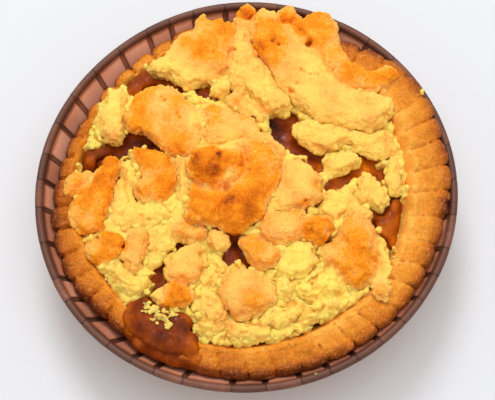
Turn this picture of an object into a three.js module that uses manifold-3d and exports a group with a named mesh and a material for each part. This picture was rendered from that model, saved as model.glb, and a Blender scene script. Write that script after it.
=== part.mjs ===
// An apple crumble tartlet in its pleated paper baking case.
// Millimetres, +Z up. The origin is the middle of the case's flat base, on the surface it stands on.
import * as THREE from "three";
import { mergeVertices } from "three/addons/utils/BufferGeometryUtils.js";
import Module from "manifold-3d";

const wasm = await Module();
wasm.setup();

// Space left between two pieces that touch.
const GAP = 0.35;

// The middle of the case in the frame that all radii and outlines below are read in.
const CENTRE = [0.35, -0.2];

// Paper case: a flared pleated cup whose top edge is rolled outwards into a bead. The rim's
// radius goes round anticlockwise in eight equal steps from +X, and folds are angles in degrees.
// The base's radius is a share of the rim's, and wallStep the paper's step in below the bead.
const CASE = {
  rimRadius: [55.1, 55.15, 54.7, 53.5, 54.4, 55.7, 55.1, 54.9],
  beadRadius: 1.15,
  beadMiddle: 22.9,
  beadNotch: 0.2,
  beadTurns: [-40, 20, 80, 140],
  baseShare: 0.745,
  paper: 0.7,
  wallStep: 0.3,
  pleatDepth: 0.6,
  foldHalfWidth: 0.9,
  folds: [
    2, 12.5, 25.5, 34, 43, 52, 62, 70.5, 80.5, 88, 96, 105.5, 113, 120.5, 130.5, 140.5, 150.5, 160,
    170, 178, 186.5, 197, 208, 215, 222.5, 231.5, 239, 245.5, 253.5, 266.5, 275.5, 285, 293, 301,
    309, 317, 325, 333, 341.5, 351.5,
  ],
};

// Shortcrust shell. Its radii and heights go round anticlockwise in equal steps from +X, and
// grooves are the angles of the furrows between the flutes of its rim. The edge is the rim's
// widest line: the crown rises above it, and the side falls from under its lip to the base. Each
// point of rimLine is a share of the rim's width, of the crown's height and of the groove's depth.
const CRUST = {
  outerRadius: [
    53.4, 53.3, 54.3, 52.6, 49.8, 49, 48.8, 50, 48.6, 47.6, 47.7, 48.6, 49.8, 51.6, 51.3, 50, 50,
    50.5, 51.3, 51.1, 51.5, 52, 51.6, 51.8,
  ],
  innerRadius: [42.3, 42.8, 43, 43, 43.6, 44, 44.2, 43.6, 43.4, 43.2, 42.4, 42.4],
  edgeHeight: [24.6, 25.4, 23.6, 22.3, 20.8, 20.1, 20.8, 21.2, 21.5, 21.8, 22.2, 23.2],
  grooves: [
    6, 14, 21, 28, 36, 44, 52, 59, 67, 75, 83, 91, 99, 107, 114.5, 122.5, 131, 139, 146.5, 153.5,
    161, 168.5, 176.5, 185.5, 193.5, 202, 210, 217.5, 225, 232, 239.5, 247, 255.5, 263, 271, 279,
    286.5, 294.5, 303, 311, 319, 327, 334, 341.5, 350, 358.5,
  ],
  grooveDepth: 0.9,
  fluteStops: [
    [0, 1],
    [0.3, 0.1],
    [0.7, 0.1],
  ],
  unevenness: 0.15,
  grooveLean: 2.5,
  leanMiddle: 320,
  crown: 2.1,
  rimLine: [
    [0.1, 0.66, 0.5],
    [0.36, 1, 0.6],
    [0.66, 1.1, 0.4],
  ],
  innerRise: 0.6,
  clearance: 0.5,
  underLip: 1.4,
  sideDrop: 4,
  sideInset: 1.2,
  floor: 3.2,
  wall: 9,
  trim: 0.03,
};

// Stewed apple: a low dome of fruit and jam inside the shell.
const FILLING = {
  edge: 21,
  middle: 25,
  inset: 2.3,
  footInset: 9.9,
  steps: 36,
  rings: [1, 0.7, 0.35],
};

// Crumble: the height that the tops of the lumps reach, a mound with a bank on its far side.
const PILE = {
  edge: 23,
  rise: 6.5,
  radius: 46,
  middle: [1.5, 0],
  bankRise: 5,
  bankMiddle: [15, 40],
  bankReach: [26, 14],
};

// The plain ring that clears the rim: its lowest height and how far it stands off the pastry.
const ALLOWANCE = { steps: 36, from: 14, spare: 0.55, footInset: 3.2 };

// A lump of crumble: a craggy slab with rounded shoulders over a drawn-in foot. A lump inside the
// pastry's rim keeps a margin to it that grows with the rim's height, and room is the range of
// heights that a lump clears of the ones below it.
const LUMP = {
  spread: 0.6,
  pointSpacing: 3.6,
  fewestPoints: 8,
  mostPoints: 26,
  footInset: 1.4,
  underInset: 0.6,
  edgeDrop: 1.5,
  shoulderInset: 1.1,
  topShare: 0.5,
  dome: 0.7,
  crag: 0.4,
  trim: 0.08,
  rimMargin: 0.4,
  marginPerRise: 0.33,
  room: [18, 50],
};

const rad = THREE.MathUtils.degToRad;
const polar = (r, angle, z) => [r * Math.cos(rad(angle)), r * Math.sin(rad(angle)), z];

// The height of the crumble's tops above (x, y).
function pileTop(x, y) {
  const share = Math.hypot(x - PILE.middle[0], y - PILE.middle[1]) / PILE.radius;
  const across = (x - PILE.bankMiddle[0]) / PILE.bankReach[0];
  const along = (y - PILE.bankMiddle[1]) / PILE.bankReach[1];
  const mound = Math.max(0, 1 - share * share) ** 0.8;
  return PILE.edge + PILE.rise * mound + PILE.bankRise * Math.exp(-across * across - along * along);
}

// The height of the bare filling above (x, y).
function fillingTop(x, y) {
  const share = Math.hypot(x, y) / CRUST.innerRadius[0];
  return FILLING.middle - (FILLING.middle - FILLING.edge) * Math.min(1, share * share);
}

// A repeatable number from -1 to 1 for the k-th point of a piece.
function wobble(seed, k) {
  const s = Math.sin(seed * 127.1 + k * 311.7) * 43758.5453;
  return 2 * (s - Math.floor(s)) - 1;
}

// A smooth value at an angle in degrees from a list of equally spaced ones.
function around(list, angle) {
  const place = ((((angle % 360) + 360) % 360) / 360) * list.length;
  const i = Math.floor(place);
  const t = place - i;
  const [a, b, c, d] = [-1, 0, 1, 2].map((k) => list[(i + k + list.length) % list.length]);
  return b + 0.5 * t * (c - a + t * (2 * a - 5 * b + 4 * c - d + t * (3 * (b - c) + d - a)));
}

// A closed solid from rings of equally many points, with its first and last ring filled in.
function loft(rings) {
  const n = rings[0].length;
  const at = (ring, k) => ring * n + (k % n);
  const faces = [];
  for (let ring = 0; ring + 1 < rings.length; ring++)
    for (let k = 0; k < n; k++) {
      faces.push(at(ring, k), at(ring, k + 1), at(ring + 1, k + 1));
      faces.push(at(ring, k), at(ring + 1, k + 1), at(ring + 1, k));
    }
  const cap = (ring) =>
    THREE.ShapeUtils.triangulateShape(ring.map(([x, y]) => new THREE.Vector2(x, y)), []);
  const last = rings.length - 1;
  for (const [a, b, c] of cap(rings[0])) faces.push(at(0, a), at(0, c), at(0, b));
  for (const [a, b, c] of cap(rings[last])) faces.push(at(last, a), at(last, b), at(last, c));
  const vertProperties = new Float32Array(rings.flat(2));
  return new wasm.Manifold(
    new wasm.Mesh({ numProp: 3, vertProperties, triVerts: new Uint32Array(faces) }),
  );
}

const underBead = CASE.beadMiddle - CASE.beadRadius;
const wallFoot = (rim) => CASE.baseShare * rim - CASE.paper;
const wallHead = (rim) => rim - 2 * CASE.beadRadius - CASE.wallStep;

// The radius of the case's inner wall at an angle and a height.
function caseWall(angle, z) {
  const rim = around(CASE.rimRadius, angle);
  const share = Math.min(z, underBead) / underBead;
  return wallFoot(rim) + (wallHead(rim) - wallFoot(rim)) * share;
}

// The paper case.
function caseSolid() {
  const stops = CASE.folds.flatMap((fold, k) => {
    const next = CASE.folds[k + 1] ?? CASE.folds[0] + 360;
    return [
      { angle: fold, atFold: 1 },
      { angle: fold + CASE.foldHalfWidth, atFold: 0 },
      { angle: next - CASE.foldHalfWidth, atFold: 0 },
    ];
  });
  // A ring of the profile: its radius from the rim's, its height, and what a fold adds to it.
  const ring = (radius, height, fold) =>
    stops.map(({ angle, atFold }) =>
      polar(radius(around(CASE.rimRadius, angle)) + atFold * fold, angle, height),
    );
  const bead = CASE.beadTurns.map((turn) =>
    ring(
      (rim) => rim - CASE.beadRadius * (1 - Math.cos(rad(turn))),
      CASE.beadMiddle + CASE.beadRadius * Math.sin(rad(turn)),
      -CASE.beadNotch,
    ),
  );
  return loft([
    ring((rim) => CASE.baseShare * rim, 0, 0),
    ring((rim) => rim - CASE.beadRadius - CASE.paper, underBead, CASE.pleatDepth),
    ...bead,
    ring(wallHead, underBead, CASE.pleatDepth),
    ring(wallFoot, CASE.paper, 0),
  ]);
}

const crustFoot = CASE.paper + CRUST.clearance;

// The pastry shell with its fluted, rounded rim, which laps over the case's bead on one side.
function crustSolid() {
  const stops = CRUST.grooves.flatMap((groove, k) => {
    const span = (CRUST.grooves[k + 1] ?? CRUST.grooves[0] + 360) - groove;
    return CRUST.fluteStops.map(([share, depth]) => ({ angle: groove + share * span, depth }));
  });
  const profiles = stops.map(({ angle, depth }, k) => {
    const outer = around(CRUST.outerRadius, angle);
    const inner = around(CRUST.innerRadius, angle);
    const edge = around(CRUST.edgeHeight, angle);
    const groove = CRUST.grooveDepth * (depth + CRUST.unevenness * wobble(7, k));
    const lapsOver = edge > CASE.beadMiddle + CASE.beadRadius + GAP;
    const inCase = (r, z) => Math.min(r, caseWall(angle, z) - CRUST.clearance);
    const lip = lapsOver ? outer - groove : inCase(outer - groove, edge);
    const width = lip - inner;
    const lean = (CRUST.grooveLean * (1 + Math.cos(rad(angle - CRUST.leanMiddle)))) / 2;
    const side = edge - CRUST.sideDrop;
    return [
      [caseWall(angle, 0) - 2 * CRUST.clearance, crustFoot, 0],
      [inCase(outer - CRUST.sideInset, side), side, 0],
      [inCase(lip, edge - CRUST.underLip), edge - CRUST.underLip, 0],
      [lip, edge, 0],
      ...CRUST.rimLine.map(([share, rise, furrow]) => [
        lip - share * width,
        edge + rise * CRUST.crown - furrow * groove,
        share,
      ]),
      [inner, edge + CRUST.innerRise, 1],
      [inner - CRUST.wall, crustFoot + CRUST.floor, 1],
    ].map(([r, z, share]) => polar(r, angle - lean * share, z));
  });
  return loft(profiles[0].map((_, j) => profiles.map((line) => line[j]))).simplify(CRUST.trim);
}

// A plain ring that holds the pastry's rim and the case's bead, for cutting what lies on them.
function rimAllowance() {
  const { steps, from, spare, footInset } = ALLOWANCE;
  const angles = Array.from({ length: steps }, (_, k) => (k * 360) / steps);
  const ring = (radius, height) =>
    angles.map((angle) => polar(radius(angle), angle, height(angle)));
  const outer = (angle) => around(CRUST.outerRadius, angle);
  const inner = (angle) => around(CRUST.innerRadius, angle);
  const edge = (angle) => around(CRUST.edgeHeight, angle);
  const crest = (angle) => edge(angle) + CRUST.crown + spare;
  const beadTop = CASE.beadMiddle + CASE.beadRadius + GAP;
  const outside = Math.max(...CASE.rimRadius) + 2;
  return loft([
    ring(() => outside, () => from),
    ring(() => outside, () => beadTop),
    ring((a) => Math.max(outer(a) + spare, 52), (a) => Math.max(beadTop, edge(a) + spare)),
    ring((a) => outer(a) - 1, crest),
    ring((a) => inner(a) + 1, crest),
    ring((a) => inner(a) - spare, (a) => edge(a) + CRUST.innerRise + GAP),
    ring((a) => inner(a) - footInset, () => from + 4),
  ]);
}

// The filling inside the shell: a low dome from wall to wall.
function fillingSolid() {
  const floor = crustFoot + CRUST.floor + GAP;
  const angles = Array.from({ length: FILLING.steps }, (_, k) => (k * 360) / FILLING.steps);
  const inside = (angle) => around(CRUST.innerRadius, angle) - FILLING.inset;
  const foot = (angle) => around(CRUST.innerRadius, angle) - FILLING.footInset;
  const rings = [angles.map((a) => polar(foot(a), a, floor))];
  for (const share of FILLING.rings)
    rings.push(
      angles.map((a) => {
        const [x, y] = polar(inside(a) * share, a, 0);
        return [x, y, fillingTop(x, y)];
      }),
    );
  return loft(rings);
}

// The nearest point to p on a line of points.
function nearestOn(spine, p) {
  let best = spine[0];
  for (let i = 0; i + 1 < spine.length; i++) {
    const stretch = new THREE.Line3(spine[i], spine[i + 1]);
    const closest = stretch.closestPointToPoint(p, true, new THREE.Vector3());
    if (closest.distanceTo(p) < best.distanceTo(p)) best = closest;
  }
  return best;
}

// The middle line of an outline: a stretch of its long axis, or a single point if it is round.
function middleLine(outline) {
  const middle = outline
    .reduce((sum, p) => sum.add(p), new THREE.Vector3())
    .divideScalar(outline.length);
  const [xx, xy, yy] = outline.reduce(
    ([a, b, c], p) => {
      const [x, y] = [p.x - middle.x, p.y - middle.y];
      return [a + x * x, b + x * y, c + y * y];
    },
    [0, 0, 0],
  );
  const turn = 0.5 * Math.atan2(2 * xy, xx - yy);
  const axis = new THREE.Vector3(Math.cos(turn), Math.sin(turn), 0);
  const side = new THREE.Vector3(-axis.y, axis.x, 0);
  const reach = (way) => Math.max(...outline.map((p) => Math.abs(p.clone().sub(middle).dot(way))));
  const half = 0.85 * Math.max(0, reach(axis) - reach(side));
  return [middle.clone().addScaledVector(axis, -half), middle.clone().addScaledVector(axis, half)];
}

// An outline moved outwards by a distance.
function spread(outline, distance) {
  return outline.map((p, k) => {
    const into = p.clone().sub(outline.at(k - 1)).normalize();
    const out = outline[(k + 1) % outline.length].clone().sub(p).normalize();
    const along = into.add(out).normalize();
    const away = distance / Math.max(0.6, along.dot(out));
    return new THREE.Vector3(p.x + away * along.y, p.y - away * along.x, 0);
  });
}

// A lump's outline: a smooth closed curve through its plan, evenly divided, anticlockwise. It
// keeps inside the pastry's rim unless the lump lies on the rim.
function outlineOf({ plan, overRim }) {
  const corners = plan.map(([x, y]) => new THREE.Vector3(x, y, 0));
  const curve = new THREE.CatmullRomCurve3(corners, true, "centripetal");
  const wanted = Math.round(curve.getLength() / LUMP.pointSpacing);
  const count = THREE.MathUtils.clamp(wanted, LUMP.fewestPoints, LUMP.mostPoints);
  const even = curve.getSpacedPoints(count).slice(0, count);
  const outline = spread(THREE.ShapeUtils.area(even) < 0 ? even.reverse() : even, LUMP.spread);
  if (!overRim)
    for (const p of outline) {
      const angle = THREE.MathUtils.radToDeg(Math.atan2(p.y, p.x));
      const rise = Math.max(0, around(CRUST.edgeHeight, angle) - FILLING.edge);
      const margin = LUMP.rimMargin + LUMP.marginPerRise * rise;
      p.clampLength(0, around(CRUST.innerRadius, angle) - margin);
    }
  return outline;
}

// A lump: a craggy slab with rounded shoulders on a drawn-in foot that rests on the filling.
function lumpSolid(lump, seed) {
  const { lift, spine, follow = 0.8, smooth = 1 } = lump;
  const outline = outlineOf(lump);
  const line = spine ? spine.map(([x, y]) => new THREE.Vector3(x, y, 0)) : middleLine(outline);
  const middle = line[0].clone().lerp(line[line.length - 1], 0.5);
  const level = pileTop(middle.x, middle.y);
  const top = ({ x, y }) => level + lift + follow * (pileTop(x, y) - level);
  const bottom = ({ x, y }) => fillingTop(x, y) + GAP;
  const crag = LUMP.crag * smooth;
  // A ring of the outline drawn in by a distance, or by a share of the way to the middle line.
  const ring = (inset, share, rough, height) =>
    outline.map((p, k) => {
      const towards = nearestOn(line, p).clone().sub(p);
      const reach = towards.length();
      const drawn = Math.min(inset, 0.6 * reach) + share * reach;
      const step = drawn + crag * rough * (1 + wobble(seed, k));
      const moved = p.clone().addScaledVector(towards, step / reach);
      return [moved.x, moved.y, height(moved, k)];
    });
  const edge = (p) => top(p) - LUMP.edgeDrop;
  return loft([
    ring(LUMP.footInset, 0, 0, bottom),
    ring(LUMP.underInset, 0, 1, (p) => 0.6 * bottom(p) + 0.4 * edge(p)),
    ring(0, 0, 0.8, (p, k) => edge(p) + crag * wobble(seed + 2, k)),
    ring(LUMP.shoulderInset, 0, 0.5, (p, k) => top(p) + crag * wobble(seed + 3, k)),
    ring(0, LUMP.topShare, 0, (p, k) => top(p) + LUMP.dome + crag * wobble(seed + 4, k)),
  ]);
}

// The upright room a lump takes up, with the gap round it, for cutting the lumps lower down.
function lumpRoom(lump) {
  const grown = spread(outlineOf(lump), GAP);
  return loft(LUMP.room.map((z) => grown.map((p) => [p.x, p.y, z])));
}

// The largest body of a cut piece; the scraps that a cut leaves are dropped.
const largest = (solid) => solid.decompose().sort((a, b) => b.volume() - a.volume())[0];
const mainBody = (solid) => largest(largest(solid).simplify(LUMP.trim));

// The crumble, uppermost lumps first: each one below is cut clear of those above it.
// plan is the outline seen from above, lift its height over the pile's general level,
// toast how brown it baked, spine the middle line of a bent one, follow how far its top leans
// with the pile, and overRim marks one that lies on the pastry's rim.
const CRUMBLE = [
  {
    name: "crumble_brown_cap",
    toast: 1.0,
    lift: 3.4,
    plan: [
      [-13.5, 4.5], [-11, 7], [-6, 6.6], [-1.5, 6], [0, 2.5], [-2.5, -1.5], [-7, -2.5],
      [-11.5, -1.2], [-14, 1.5],
    ],
  },
  {
    name: "crumble_centre",
    toast: 0.8,
    lift: 1.8,
    spine: [[2.5, 4], [2, -3], [-3, -8.5], [-8.5, -8]],
    plan: [
      [-3.5, 9.2], [3, 9], [8.8, 4], [8.2, -2], [5, -8.5], [1.5, -13.5], [-4, -14.8],
      [-9, -13.2], [-14.5, -11.5], [-14, -6], [-12.5, 0], [-9, 6],
    ],
  },
  {
    name: "crumble_far_nub",
    toast: 0.7,
    lift: 1.2,
    follow: 0.3,
    overRim: true,
    plan: [[-1.6, 48.2], [-1.2, 51], [0.5, 52.2], [2.2, 51.6], [2.8, 49.6], [1, 47.2]],
  },
  {
    name: "crumble_far_wedge",
    toast: 0.7,
    lift: 1.1,
    follow: 0.3,
    overRim: true,
    plan: [
      [8.7, 48], [9.3, 50.5], [10.4, 51.8], [12.3, 50.5], [14.7, 48.6], [15, 46.3], [12, 45.4],
      [9.5, 45.6],
    ],
  },
  {
    name: "crumble_ridge_slab",
    toast: 0.6,
    lift: 1.5,
    follow: 0.3,
    overRim: true,
    spine: [[16.5, 45], [21.5, 41], [23.5, 33.5], [29, 29], [37.3, 28.7]],
    plan: [
      [12, 45], [15, 47.5], [18, 47.4], [20.8, 48.2], [22.4, 47.2], [24, 44.5], [25, 39.5],
      [25.8, 35.5], [28, 32.5], [33, 31.4], [37, 32.2], [40, 33], [41, 30.5], [40.3, 28.5],
      [38.5, 26], [36.5, 24.5], [30, 25.5], [25, 27], [21, 31.5], [19, 36], [14.5, 41],
    ],
  },
  {
    name: "crumble_great_slab",
    toast: 0.5,
    lift: 0.8,
    follow: 0.3,
    overRim: true,
    spine: [[6.5, 44], [9.5, 38], [14, 30], [20, 23.5], [28, 20.5], [34.5, 19.5]],
    plan: [
      [3, 48.3], [2, 44], [1.7, 40], [3, 37], [6, 33], [8, 29], [10.5, 25], [13, 22.3],
      [13.5, 20.5], [16, 18.5], [20, 16.5], [25, 15.8], [30, 14.3], [34, 14.2], [37, 17],
      [38.5, 20], [39.6, 22.3], [37, 24.5], [30, 26], [24, 28], [21, 31], [19, 37],
      [14.5, 41.5], [12, 45.5], [9, 48.5], [6, 49.2],
    ],
  },
  {
    name: "crumble_far_left",
    toast: 0.55,
    lift: 0.5,
    follow: 0.6,
    overRim: true,
    spine: [[-22, 33.5], [-15, 32], [-10.5, 36], [-10.5, 44]],
    plan: [
      [-26, 33.5], [-25.5, 35.3], [-22, 36.8], [-19.5, 37.3], [-19, 41], [-17.5, 43.8],
      [-13.5, 46.4], [-11.3, 51.3], [-9.6, 48.8], [-4, 47.6], [-3, 40], [-4, 35], [-4.5, 32],
      [-8.5, 28.7], [-12, 27.5], [-14, 25.7], [-17, 27.6], [-19.5, 29], [-22, 31.3],
      [-24.5, 31],
    ],
  },
  {
    name: "crumble_far_middle",
    toast: 0.35,
    lift: -0.3,
    follow: 0.6,
    overRim: true,
    spine: [[-0.5, 46], [-0.5, 38], [1.5, 31], [5.5, 25.5], [9, 21]],
    plan: [
      [-3, 48], [0, 49.6], [2.8, 49.4], [1.6, 44], [1.7, 40], [3, 36.8], [5.5, 33], [8, 29],
      [10, 26], [12.5, 22.5], [12.5, 20], [8.5, 17.8], [6, 18.5], [4.5, 21], [0, 24.5],
      [-3, 27], [-4, 33], [-3.3, 41],
    ],
  },
  {
    name: "crumble_left_slab",
    toast: 0.5,
    lift: 0.9,
    plan: [
      [-31.3, 18], [-30, 21], [-28.5, 23], [-28, 26.3], [-24, 28.2], [-20, 27], [-17.5, 25.8],
      [-15.5, 22.5], [-14.5, 20], [-12, 18.5], [-11.3, 13], [-11.3, 9], [-13, 6.5], [-15, 6.3],
      [-20, 8.5], [-24, 11], [-28, 13.5], [-31, 15.5],
    ],
  },
  {
    name: "crumble_middle_slab",
    toast: 0.45,
    lift: 0.1,
    plan: [
      [-11.5, 19.6], [-10, 21.1], [-5, 19.6], [1.5, 17.1], [3, 14], [6, 12.2], [9, 10.2],
      [10.4, 7.2], [9.5, 4], [4, 3], [-4, 3], [-9, 6], [-11.6, 10], [-11.8, 14],
    ],
  },
  {
    name: "crumble_finger",
    toast: 0.1,
    lift: 0.8,
    overRim: true,
    plan: [
      [-36, 27.6], [-34.3, 28.3], [-32, 27], [-31.3, 25], [-31.6, 20], [-32, 14], [-32.7, 10.6],
      [-35.5, 11.2], [-38, 13.8], [-38.6, 18], [-38.4, 22.5], [-36.6, 25],
    ],
  },
  {
    name: "crumble_right_slab",
    toast: 0.5,
    lift: 0.7,
    plan: [
      [9.5, 4.5], [13, 5], [16, 4.2], [18.8, 0.8], [19.8, -3], [19.3, -6.8], [16.5, -7.5],
      [12, -8.7], [7, -9.2], [2, -9.3], [2, -5], [4, -1], [6.5, 3],
    ],
  },
  {
    name: "crumble_right_knob",
    toast: 0.8,
    lift: 1,
    plan: [
      [15.8, -11.2], [18, -10], [20.8, -10.6], [22, -13.2], [20.7, -16.5], [17.5, -17.4],
      [15.3, -14.3],
    ],
  },
  {
    name: "crumble_near_right_ridge",
    toast: 0.6,
    lift: 0.9,
    spine: [[29, -11.5], [27, -17], [22.5, -19], [26, -19.5], [29, -25]],
    plan: [
      [25.5, -10.8], [27.5, -8.3], [29.5, -7.3], [32, -9], [33.3, -13.2], [33, -19],
      [33.8, -24], [31.5, -28.5], [27, -29], [24.5, -25], [20, -21.7], [19, -18.5],
      [21.5, -15.8], [25, -13.2],
    ],
  },
  {
    name: "crumble_near_peach",
    toast: 0.5,
    lift: 0.9,
    plan: [
      [-6, -26.4], [-3.2, -24.8], [2.5, -25.1], [5.8, -27.2], [8, -31], [6.3, -34], [2, -35],
      [-2, -36.3], [-4.8, -33.5], [-6.2, -30],
    ],
  },
  {
    name: "crumble_left_brown",
    toast: 0.75,
    lift: 0.9,
    overRim: true,
    plan: [
      [-41.3, -17], [-38, -14.2], [-33.5, -13.3], [-30.3, -15.5], [-31, -19.5], [-34.2, -21],
      [-37.5, -21.4], [-41.3, -20.2],
    ],
  },
  {
    name: "crumble_left_ridge",
    toast: 0.6,
    lift: 0.8,
    overRim: true,
    spine: [[-35.7, 5.5], [-36.5, -2], [-41.5, -8]],
    plan: [
      [-38.3, 7], [-35, 8], [-32.6, 6.8], [-33, 2], [-34, -3], [-35.5, -9], [-38, -13],
      [-43, -13], [-45.8, -9.5], [-47, -6], [-45, -3.2], [-40, -1.2], [-38.6, 3],
    ],
  },
  {
    name: "crumble_left_edge",
    toast: 0.5,
    lift: 0.8,
    follow: 0.5,
    overRim: true,
    plan: [
      [-48, 0.8], [-45, 3.6], [-41, 4.5], [-38.5, 3.5], [-38.5, -1], [-44.5, -3], [-47.7, -1.5],
    ],
  },
  {
    name: "crumble_left_hook",
    toast: 0.65,
    lift: 0.7,
    spine: [[-26.5, 7], [-22.5, 4], [-22, -2], [-25.5, -2.5]],
    plan: [
      [-29, 9.5], [-26.5, 9.2], [-25, 7.7], [-21, 8], [-19, 4.8], [-18.2, 0], [-19, -5],
      [-23, -5.5], [-27, -5.5], [-28.5, -2], [-25.5, 0], [-27, 2.5],
    ],
  },
  {
    name: "crumble_near_knob",
    toast: 0.5,
    lift: 0.4,
    plan: [
      [-0.3, -15.9], [3.5, -15.4], [6.5, -17.9], [8.8, -21], [7.2, -23.3], [4.3, -24.8],
      [0.3, -22], [-2, -18.2],
    ],
  },
  {
    name: "crumble_near_fan",
    toast: 0.45,
    lift: 0.6,
    plan: [
      [-24.3, -30.2], [-21, -28.2], [-17, -28], [-13, -30.2], [-13.8, -33], [-18.5, -34.3],
      [-22.5, -32.8],
    ],
  },
  {
    name: "crumble_near_right_shelf",
    toast: 0.45,
    lift: 0.1,
    plan: [
      [3.3, -10.3], [7, -8.5], [12, -8], [16, -9], [17, -14], [13, -15.5], [11.5, -17.7],
      [9.5, -18.2], [7, -17], [5, -15], [2.6, -13],
    ],
  },
  {
    name: "crumble_near_peach_left",
    toast: 0.5,
    lift: 0.3,
    plan: [[-18.3, -12.5], [-13, -11.5], [-9.5, -13.5], [-9.5, -15.5], [-13.5, -17], [-18, -16.3]],
  },
  {
    name: "crumble_left_bar",
    toast: 0.45,
    lift: 0.3,
    plan: [
      [-30, -12.8], [-25.5, -12.4], [-24.8, -16], [-25.5, -21], [-27.5, -25], [-31, -22.5],
      [-32, -17],
    ],
  },
  {
    name: "crumble_near_left_lobe",
    toast: 0.35,
    lift: 0.1,
    plan: [
      [-20, -20], [-16, -18.2], [-11.5, -17.5], [-10, -21], [-10.6, -25.5], [-14, -28],
      [-19, -27.5], [-20.8, -23.7],
    ],
  },
  {
    name: "crumble_right_edge",
    toast: 0.3,
    lift: 0.9,
    follow: 0,
    overRim: true,
    spine: [[34.2, -16.5], [33.9, -22], [34, -28.5]],
    plan: [
      [33.2, -13.7], [35.8, -14.4], [36.8, -18], [36.4, -23.5], [37.4, -28.5], [36.5, -31.4],
      [34.6, -32.6], [32.2, -31.2], [31.2, -26.5], [31.8, -19.5],
    ],
  },
  {
    name: "crumble_right_block",
    toast: 0.25,
    lift: -0.5,
    plan: [
      [31.3, 3.5], [33.5, 1.7], [36, -1.8], [37.2, -4.3], [36.5, -7.3], [34, -8.6], [32, -7],
      [29.8, -6.6], [28.5, -4.3], [28, 0.2], [29.7, 2],
    ],
  },
  {
    name: "crumble_right_strip",
    toast: 0.1,
    lift: -0.2,
    plan: [
      [11.7, 13.1], [14, 17], [17, 18.5], [22, 17.5], [28, 16.5], [34, 16], [37, 16.5],
      [39.2, 14.2], [40.2, 11.6], [38.7, 8.6], [35, 6.1], [31.5, 6.8], [29, 8.9], [25.5, 10.1],
      [21.5, 7.3], [18, 8.1], [15, 9.9],
    ],
  },
  {
    name: "crumble_right_tongue",
    toast: 0.15,
    lift: -0.8,
    plan: [
      [21.3, 7.6], [25, 10.5], [29, 9.5], [30.8, 6.3], [27.5, 3.3], [23.5, 1.5], [20.6, 1.1],
      [20.4, 4.3],
    ],
  },
  {
    name: "crumble_right_post",
    toast: 0.15,
    lift: -0.1,
    plan: [
      [38.3, 8], [39.9, 7], [41.2, 3], [41.8, 0], [40.8, -4.3], [39.3, -2.8], [37, -3.3],
      [36, 0.2], [36.4, 4.2],
    ],
  },
  {
    name: "crumble_right_cube",
    toast: 0.1,
    lift: -0.9,
    plan: [
      [19.5, -4], [23.5, -1.8], [26.5, -1.6], [28, -4.6], [29.5, -6.8], [26, -10.5],
      [22, -11.5], [19, -9], [19, -6.5],
    ],
  },
  {
    name: "crumble_far_pebble",
    toast: 0.15,
    lift: -0.5,
    plan: [
      [-9.5, 27.2], [-8, 29.5], [-5, 30.5], [-2, 29], [-2.5, 26.5], [-5, 24.2], [-8, 23.7],
      [-9.8, 25.5],
    ],
  },
  {
    name: "crumble_far_low",
    toast: 0.15,
    lift: -1.5,
    plan: [
      [-16.5, 24.5], [-14.4, 24.8], [-11.9, 24.8], [-8.4, 23.6], [-6.8, 21.2], [-8.2, 20],
      [-11, 20.7], [-14.1, 22.7],
    ],
  },
  {
    name: "crumble_far_step",
    toast: 0.4,
    lift: -0.8,
    plan: [
      [-4, 26.8], [-1, 27], [1.5, 24.5], [4, 21], [5.8, 18.5], [5, 15.8], [3, 16.2], [2, 17.7],
      [-1, 18.6], [-4, 20.6], [-5.3, 23.3],
    ],
  },
  {
    name: "crumble_near_pebble",
    toast: 0.35,
    lift: 0,
    plan: [[-10, -14], [-6, -14], [-3.7, -16.5], [-4.7, -19.7], [-8.5, -18.7], [-10.6, -17]],
  },
  {
    name: "crumble_near_flake",
    toast: 0.1,
    lift: -0.4,
    plan: [
      [8.5, -20.5], [10.5, -18], [14, -17], [18.5, -18.5], [19, -21.5], [16, -25], [13, -27],
      [9.3, -25.6], [6, -24.8], [7.8, -22.7],
    ],
  },
  {
    name: "crumble_near_right_rubble",
    toast: 0.1,
    lift: -0.6,
    plan: [
      [17, -23], [21, -20.5], [25.5, -23.5], [27, -27], [25.5, -30], [20, -30.5], [14, -31],
      [11.5, -30], [13, -28], [15.5, -26],
    ],
  },
  {
    name: "crumble_near_pale",
    toast: 0.15,
    lift: -0.4,
    plan: [[4.5, -25.5], [8.5, -25.7], [11.8, -28.7], [11.5, -30.8], [8.5, -32.3], [6, -30.5]],
  },
  {
    name: "crumble_near_strip",
    toast: 0.1,
    lift: -0.4,
    plan: [
      [9, -33.3], [11.5, -31.4], [14, -32.2], [15, -34], [13, -36.5], [9, -39], [5, -40],
      [3, -38.3], [5.5, -35.5],
    ],
  },
  {
    name: "crumble_rim_strip",
    toast: 0.1,
    lift: -0.2,
    plan: [
      [15.7, -34], [20, -31.5], [25, -30.3], [29.3, -30.3], [28, -31.8], [24, -34.2],
      [20, -36.6], [15.5, -38.8], [11.5, -39.6], [12.8, -37],
    ],
  },
  {
    name: "crumble_rim_curb",
    toast: 0.1,
    lift: 0.1,
    plan: [
      [-4.8, -38.5], [0, -37.8], [4, -39.8], [8.3, -41.2], [5.5, -42.5], [0, -42.8],
      [-4.5, -41.8],
    ],
  },
  {
    name: "crumble_near_left_heap",
    toast: 0.2,
    lift: 0,
    plan: [
      [-13, -39.5], [-10.5, -36], [-11, -32.5], [-8, -29.5], [-5.3, -32], [-5.5, -34.5],
      [-3.8, -37.3], [-5.8, -39.6], [-9, -40.8],
    ],
  },
  {
    name: "crumble_near_left_drift",
    toast: 0.05,
    lift: -1.1,
    plan: [
      [-10.2, -20], [-5.5, -20], [-4.3, -23], [-5.5, -26.5], [-8, -29], [-11, -28.5],
      [-10.8, -25],
    ],
  },
  {
    name: "crumble_near_crumbs",
    toast: 0.05,
    lift: -0.9,
    plan: [
      [-13.7, -30.1], [-11.3, -27.9], [-8, -29.3], [-7.5, -32], [-9.5, -34.1], [-11, -36.8],
      [-13.6, -35.5], [-14.4, -32.4],
    ],
  },
  {
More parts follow.
